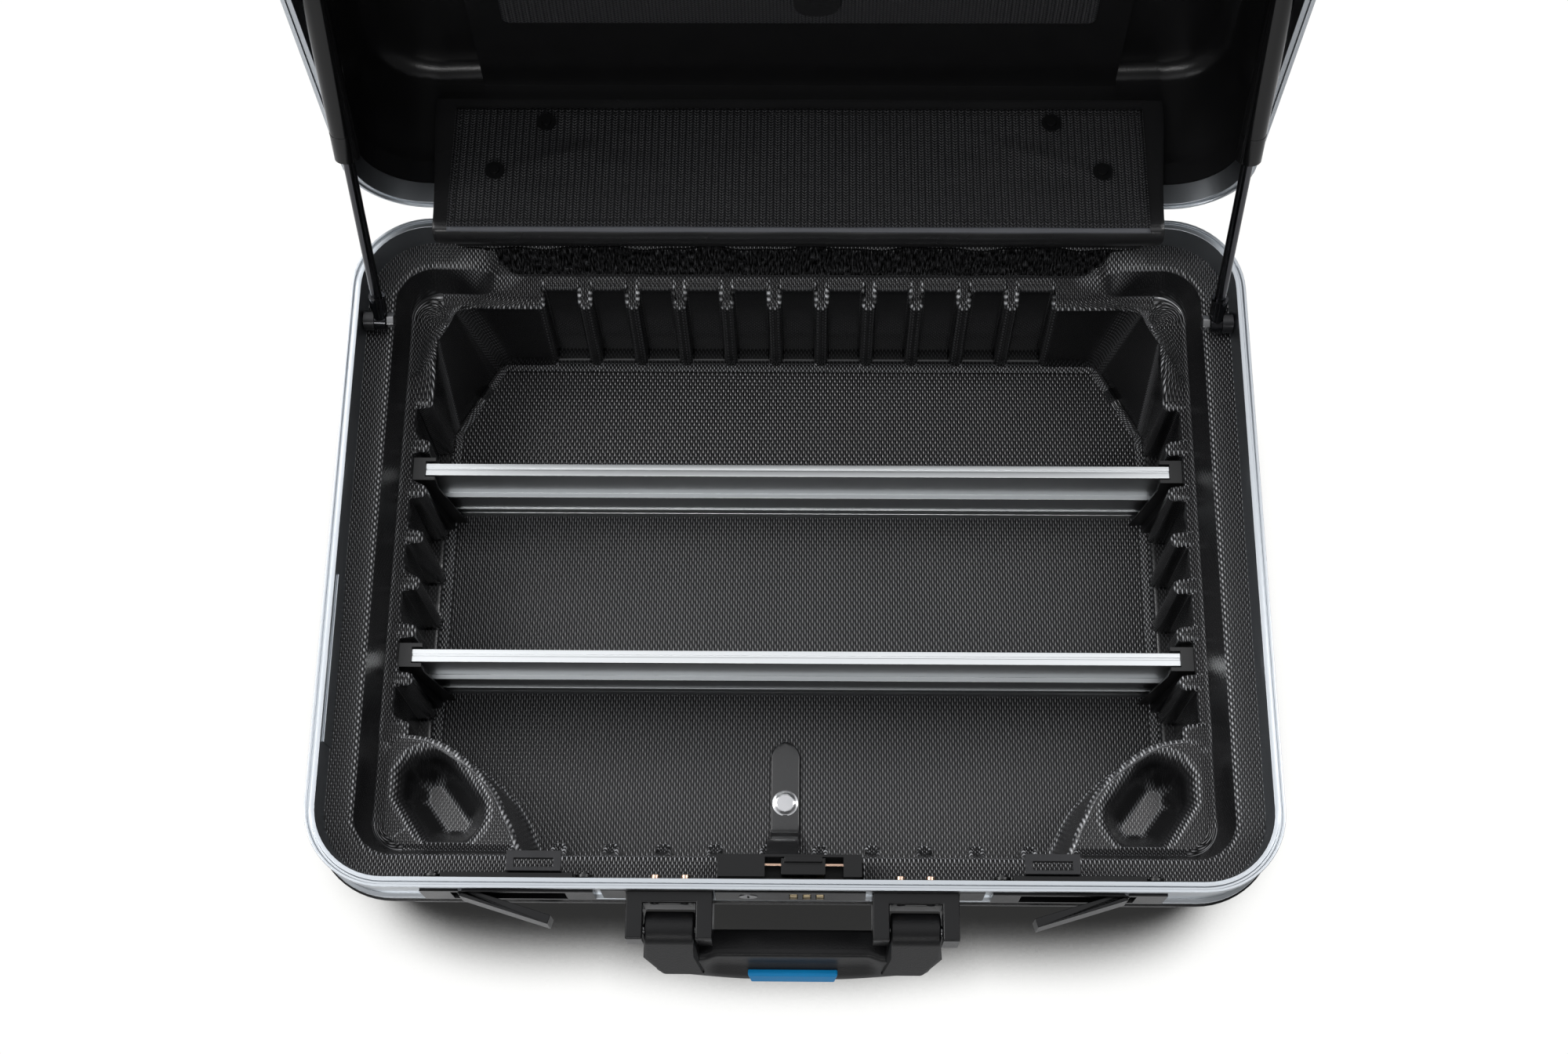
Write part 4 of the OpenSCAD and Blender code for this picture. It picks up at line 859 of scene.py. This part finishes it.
def strip_mesh():
    """The loop strip on the cut-back ledge of the base, with a wavy upper edge."""
    rows, cloth = [], []
    along, down_steps = 240, 12
    for i in range(along + 1):
        u = lerp(-1, 1, i / along)
        row, spots = [], []
        ripple = 1.4 * math.sin(u * 19 + 0.6) * ease((u + 1) * 3) + 0.7 * math.sin(u * 43)
        for j in range(down_steps + 1):
            t = j / down_steps
            x = u * lerp(187, 168, t)
            o = lerp(9.2 - 0.4 * ripple, 17.0, t) + 0.5
            d = lerp(18.6, 35.4, t) - (0.5 + ripple * 0.5) * (1 - t) - 1.2
            row.append(Vector((x, REAR - o, RIM_Z - d)))
            spots.append((x, t * 18, 1.0))
        rows.append(row)
        cloth.append(spots)
    return grid_mesh("rear_strip", rows, cloth=cloth)


strip = add_piece("rear_strip", strip_mesh(), "base", "pile", ["rear_loop_strip"])
modifier(strip, "SOLIDIFY", thickness=0.0012, offset=1.0)


STITCH_SIDES = 6
# a stitch's shape: place along its length and share of its radius
STITCH = ((-0.5, 0.15), (-0.42, 0.8), (0, 1), (0.42, 0.8), (0.5, 0.15))


def stitch_mesh(name, paths, pitch=3.6, length=2.5, radius=0.32):
    """A row of thread stitches along each path of (place, normal) samples."""
    points, faces = [], []
    last = (len(STITCH) - 1) * STITCH_SIDES
    for path in paths:
        run = 0.0
        for (a, normal), (b, _) in zip(path, path[1:]):
            step = (b - a).length
            while run <= step and step > 0:
                ahead = (b - a).normalized()
                middle = a + ahead * run
                side = ahead.cross(normal).normalized()
                start = len(points)
                for s, r in STITCH:
                    for k in range(STITCH_SIDES):
                        turn = k * 2 * math.pi / STITCH_SIDES
                        points.append(middle + ahead * (s * length) + side * (radius * r * math.cos(turn))
                                      + normal * (radius * r * math.sin(turn) + 0.1 - 0.25 * abs(s)))
                for base in range(start, start + last, STITCH_SIDES):
                    for k in range(STITCH_SIDES):
                        a0, b0 = base + k, base + (k + 1) % STITCH_SIDES
                        faces.append((a0, b0, b0 + STITCH_SIDES, a0 + STITCH_SIDES))
                faces.append(tuple(start + k for k in reversed(range(STITCH_SIDES))))
                faces.append(tuple(start + last + k for k in range(STITCH_SIDES)))
                run += pitch
            run -= step
    mesh = bpy.data.meshes.new(name)
    mesh.from_pydata([p * MM for p in points], [], faces)
    smooth(mesh)
    return mesh


def on_flap(x, length, raise_by):
    """A place on the flap and the direction away from it there."""
    line = flap_line()
    run = 0.0
    for a, b in zip(line, line[1:]):
        step = (b - a).length
        if run + step >= length:
            ahead = (b - a).normalized()
            normal = Vector((ahead.y, -ahead.x))
            lift = raise_by + FLAP_CLEAR + sag(x, length) * ease(length / 12)
            spot = a.lerp(b, (length - run) / step) + normal * lift
            return Vector((x, spot.x, spot.y)), Vector((0, normal.x, normal.y))
        run += step


SEAM_HALF, SEAM_TOP, SEAM_LOW, SEAM_RISE = 189.5, 10.5, 80.5, 1.1
seams = [[on_flap(lerp(-SEAM_HALF, SEAM_HALF, i / 60), at, SEAM_RISE) for i in range(61)]
         for at in (SEAM_TOP, SEAM_LOW)]
seams += [[on_flap(side * SEAM_HALF, lerp(SEAM_TOP, SEAM_LOW, i / 24), SEAM_RISE) for i in range(25)]
          for side in (-1, 1)]
flap_seam = add_piece("flap_seam", stitch_mesh("flap_seam", seams), None, "thread")

# ---------- strap ----------

STRAP_X, STRAP_HALF, STRAP_T = -5.5, 8, 1.6
STRAP_ROWS, STRAP_COLUMNS, STRAP_END_ROWS, STRAP_ROW_V = 90, 16, 12, 1.5
STRAP_SEAM = 6.2
UP = Vector((0, 0, 1))
# in from the front face and down from the rim
STRAP_LINE = ((18.5, 12), (19.5, 19), (24, 26), (33, 46), (40, 100), (44, 112), (50, 116.1), (58, 119.4),
              (96, 119.4))


def strap_spot(t):
    """A place on the strap's middle line, t from 0 at the lock case to 1 on the floor."""
    p = spline(STRAP_LINE, t)
    return Vector((STRAP_X, FRONT + p.x, RIM_Z - p.y))


def strap_row(place, turn=0.0):
    """One row across the strap; turn is the angle round its half-round end, 0 on the straight part."""
    row = []
    for k in range(STRAP_COLUMNS + 1):
        v = lerp(-1, 1, k / STRAP_COLUMNS)
        row.append(place + Vector((v * STRAP_HALF * math.cos(turn), STRAP_HALF * math.sin(turn),
                                   STRAP_T * (1 - 0.25 * v * v))))
    return row


def strap_mesh():
    """The strap, crowned across, with a half-round end on the floor."""
    rows = [strap_row(strap_spot(i / STRAP_ROWS)) for i in range(STRAP_ROWS + 1)]
    lengths = [i * STRAP_ROW_V for i in range(STRAP_ROWS + 1)]
    for i in range(1, STRAP_END_ROWS + 1):
        rows.append(strap_row(strap_spot(1), i / STRAP_END_ROWS * math.pi / 2))
        lengths.append(STRAP_ROWS * STRAP_ROW_V + i)
    sides = [lerp(-STRAP_HALF, STRAP_HALF, k / STRAP_COLUMNS) for k in range(STRAP_COLUMNS + 1)]
    cloth = [[(side, length, 1.0) for side in sides] for length in lengths]
    return grid_mesh("strap_leather", rows, cloth=cloth)


strap = add_piece("strap_leather", strap_mesh(), "base", "leather", ["strap"])
modifier(strap, "SOLIDIFY", thickness=0.0014, offset=-1.0)
lift = Vector((0, 0, STRAP_T + 0.02))
paths = [[(strap_spot(i / 60) + Vector((side * STRAP_SEAM, 0, 0)) + lift, UP) for i in range(12, 61)]
         for side in (-1, 1)]
turns = [math.pi * i / 16 for i in range(17)]
paths.append([(strap_spot(1) + Vector((STRAP_SEAM * math.cos(a), STRAP_SEAM * math.sin(a), 0)) + lift, UP)
              for a in turns])
add_piece("strap_seam", stitch_mesh("strap_seam", paths, 3.0, 2.1, 0.28), "base", "thread")

# ---------- handle ----------

PIVOT = Vector(JOINTS["handle_hinge"]["pos_m"]) / MM
LEAN = math.radians(15)
BRACKET_X, ARM_HALF = 61, 12.4
GRIP_HALF, GRIP_FLAT = 71, 24
KNUCKLE_R = 9


def hang(x, out, down):
    """A point of the handle: out from it and down its length from the pivot line."""
    c, s = math.cos(LEAN), math.sin(LEAN)
    return PIVOT + Vector((x, -out * c - down * s, out * s - down * c))


def grip_reach(x):
    """How far down the grip's lower edge is, less towards its ends."""
    away = max(abs(x) - GRIP_FLAT, 0) / (GRIP_HALF - GRIP_FLAT)
    return 41.2 - 9.5 * away ** 1.25


def grip_body():
    """The grip as one closed bar, dished on its face, with rounded ends."""
    rows = []
    stations = [-1 + 0.012 * i for i in range(4)] + [lerp(-0.95, 0.95, i / 70) for i in range(71)]
    stations += [1 - 0.012 * i for i in range(3, -1, -1)]
    for u in stations:
        x = u * GRIP_HALF
        end = ease((1 - abs(u)) / 0.05)
        reach = grip_reach(x)
        top, low = 14.5 + 1.0 * (1 - end), reach - 2.0 * (1 - end)
        dip = 3.4 * ease((46 - abs(x)) / 9)
        back, face = -8.6 * lerp(0.75, 1, end), 9.0 * lerp(0.75, 1, end)
        middle = lerp(top, low, 0.45)
        outline = ((back, top + 1), (0, top), (face - dip * 0.6, top + 0.4), (face - dip, middle),
                   (face - 0.3, low - 4.5), (face - 0.6, low), (back + 1, low), (back, middle))
        loop = []
        for a, b, c in zip(outline[-1:] + outline[:-1], outline, outline[1:] + outline[:1]):
            a, b, c = Vector(a), Vector(b), Vector(c)
            r = min(3.2, 0.45 * (a - b).length, 0.45 * (c - b).length)
            p, q = b + (a - b).normalized() * r, b + (c - b).normalized() * r
            loop += [p * (1 - t) ** 2 + b * 2 * t * (1 - t) + q * t * t for t in (0, 0.25, 0.5, 0.75, 1)]
        rows.append([hang(x, p.x, p.y) for p in loop] + [hang(x, loop[0].x, loop[0].y)])
    mesh = grid_mesh("grip_body", rows)
    bm = bmesh.new()
    bm.from_mesh(mesh)
    bmesh.ops.remove_doubles(bm, verts=bm.verts, dist=1e-6)
    bmesh.ops.holes_fill(bm, edges=bm.edges)
    bmesh.ops.recalc_face_normals(bm, faces=bm.faces)
    bm.to_mesh(mesh)
    return mesh


def prism(name, outline, x0, x1, shape):
    """Points (out, down) of the handle drawn along X; shape(x, out, down) gives each point's own X."""
    mesh = bpy.data.meshes.new(name)
    bm = bmesh.new()
    ends = []
    for x in (x0, x1):
        ends.append([bm.verts.new(hang(shape(x, *p), *p) * MM) for p in outline])
    bm.faces.new(ends[0])
    bm.faces.new(ends[1][::-1])
    count = len(outline)
    for i in range(count):
        bm.faces.new((ends[0][i], ends[1][i], ends[1][(i + 1) % count], ends[0][(i + 1) % count]))
    bmesh.ops.recalc_face_normals(bm, faces=bm.faces)
    bm.to_mesh(mesh)
    return mesh


def arm_outline():
    """An arm of the grip in (out, down): round about the pivot, then down to the bar."""
    turns = [math.radians(10 + 200 * i / 20) for i in range(21)]
    knuckle = [(KNUCKLE_R * math.cos(a), -KNUCKLE_R * math.sin(a)) for a in turns]
    return knuckle + [(-8.4, 10), (-8.0, 19), (6, 30), (10.0, 31.5), (10.6, 29.5), (9.4, 12)]


def taper(x, out, down):
    """The insert's ends draw in as they go down."""
    return x - (1 if x > 0 else -1) * (down - 31) * 0.2


grip = add_piece("grip", grip_body(), "handle", "grip", ["handle_grip"])
modifier(grip, "WEIGHTED_NORMAL")
for side, word in ((-1, "left"), (1, "right")):
    flare = lambda x, out, down, s=side: x - s * (8 if abs(x) > BRACKET_X else 4) * ease((down - 11) / 20)
    middle = side * BRACKET_X
    mesh = prism(f"grip_arm_{word}", arm_outline(), middle - ARM_HALF, middle + ARM_HALF, flare)
    arm = add_piece(f"grip_arm_{word}", mesh, "handle", "grip")
    modifier(arm, "BEVEL", width=0.0012, segments=3, limit_method="ANGLE", angle_limit=math.radians(28))
    modifier(arm, "WEIGHTED_NORMAL")
    smooth(mesh)
# the blue insert's outline in (out, down)
INSERT = ((9.6, 31.4), (10.2, 33.0), (10.2, 39.8), (7.5, 42.2), (3.0, 42.6), (3.0, 36.0), (6.0, 31.4))
insert_mesh = prism("insert", INSERT, -23, 23, taper)
insert = add_piece("insert", insert_mesh, "handle", "blue", ["handle_insert"])
modifier(insert, "BEVEL", width=0.0009, segments=3, limit_method="ANGLE")
modifier(insert, "WEIGHTED_NORMAL")
smooth(insert_mesh)

# ---------- rounded edges of the carried-over metal and moulded parts ----------

# the bevel's width on each node
ROUNDED = {"handle_brackets": 1.0, "latch_housings": 0.5, "lever_left": 0.6, "lever_right": 0.6,
           "loop_left": 0.7, "loop_right": 0.7, "latch_guides": 0.45, "lock_plate": 0.25, "lock_case": 0.5,
           "lock_bolt": 0.4, "latch_catches": 0.4, "lock_hook": 0.4, "holders_rear": 0.8,
           "holders_front": 0.8, "rail_rear": 0.18, "rail_front": 0.18, "strut_tube_left": 0.8,
           "strut_tube_right": 0.8, "strut_rod_left": 0.5, "strut_rod_right": 0.5, "strut_base_studs": 0.4,
           "strut_base_nuts": 0.3, "strut_lid_studs": 0.4, "base_frame": 0.25, "lid_frame": 0.25,
           "base_shell": 0.5, "lid_shell": 0.8, "frame_splice": 0.1, "strap_snap": 0.3, "flap_screws": 0.6,
           "latch_screws": 0.4, "bracket_rivets": 0.3}
for name, width in ROUNDED.items():
    part = NODES[name]
    modifier(part, "WELD", merge_threshold=0.00001)
    modifier(part, "BEVEL", width=width * MM, segments=2, limit_method="ANGLE", angle_limit=math.radians(32),
             harden_normals=False, use_clamp_overlap=True)
    modifier(part, "WEIGHTED_NORMAL", keep_sharp=False)

for piece in (flap, panel, binding, flap_seam):
    with bpy.context.temp_override(object=piece, active_object=piece, selected_objects=[piece]):
        for made in [m.name for m in piece.modifiers]:
            bpy.ops.object.modifier_apply(modifier=made)
    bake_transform(piece)
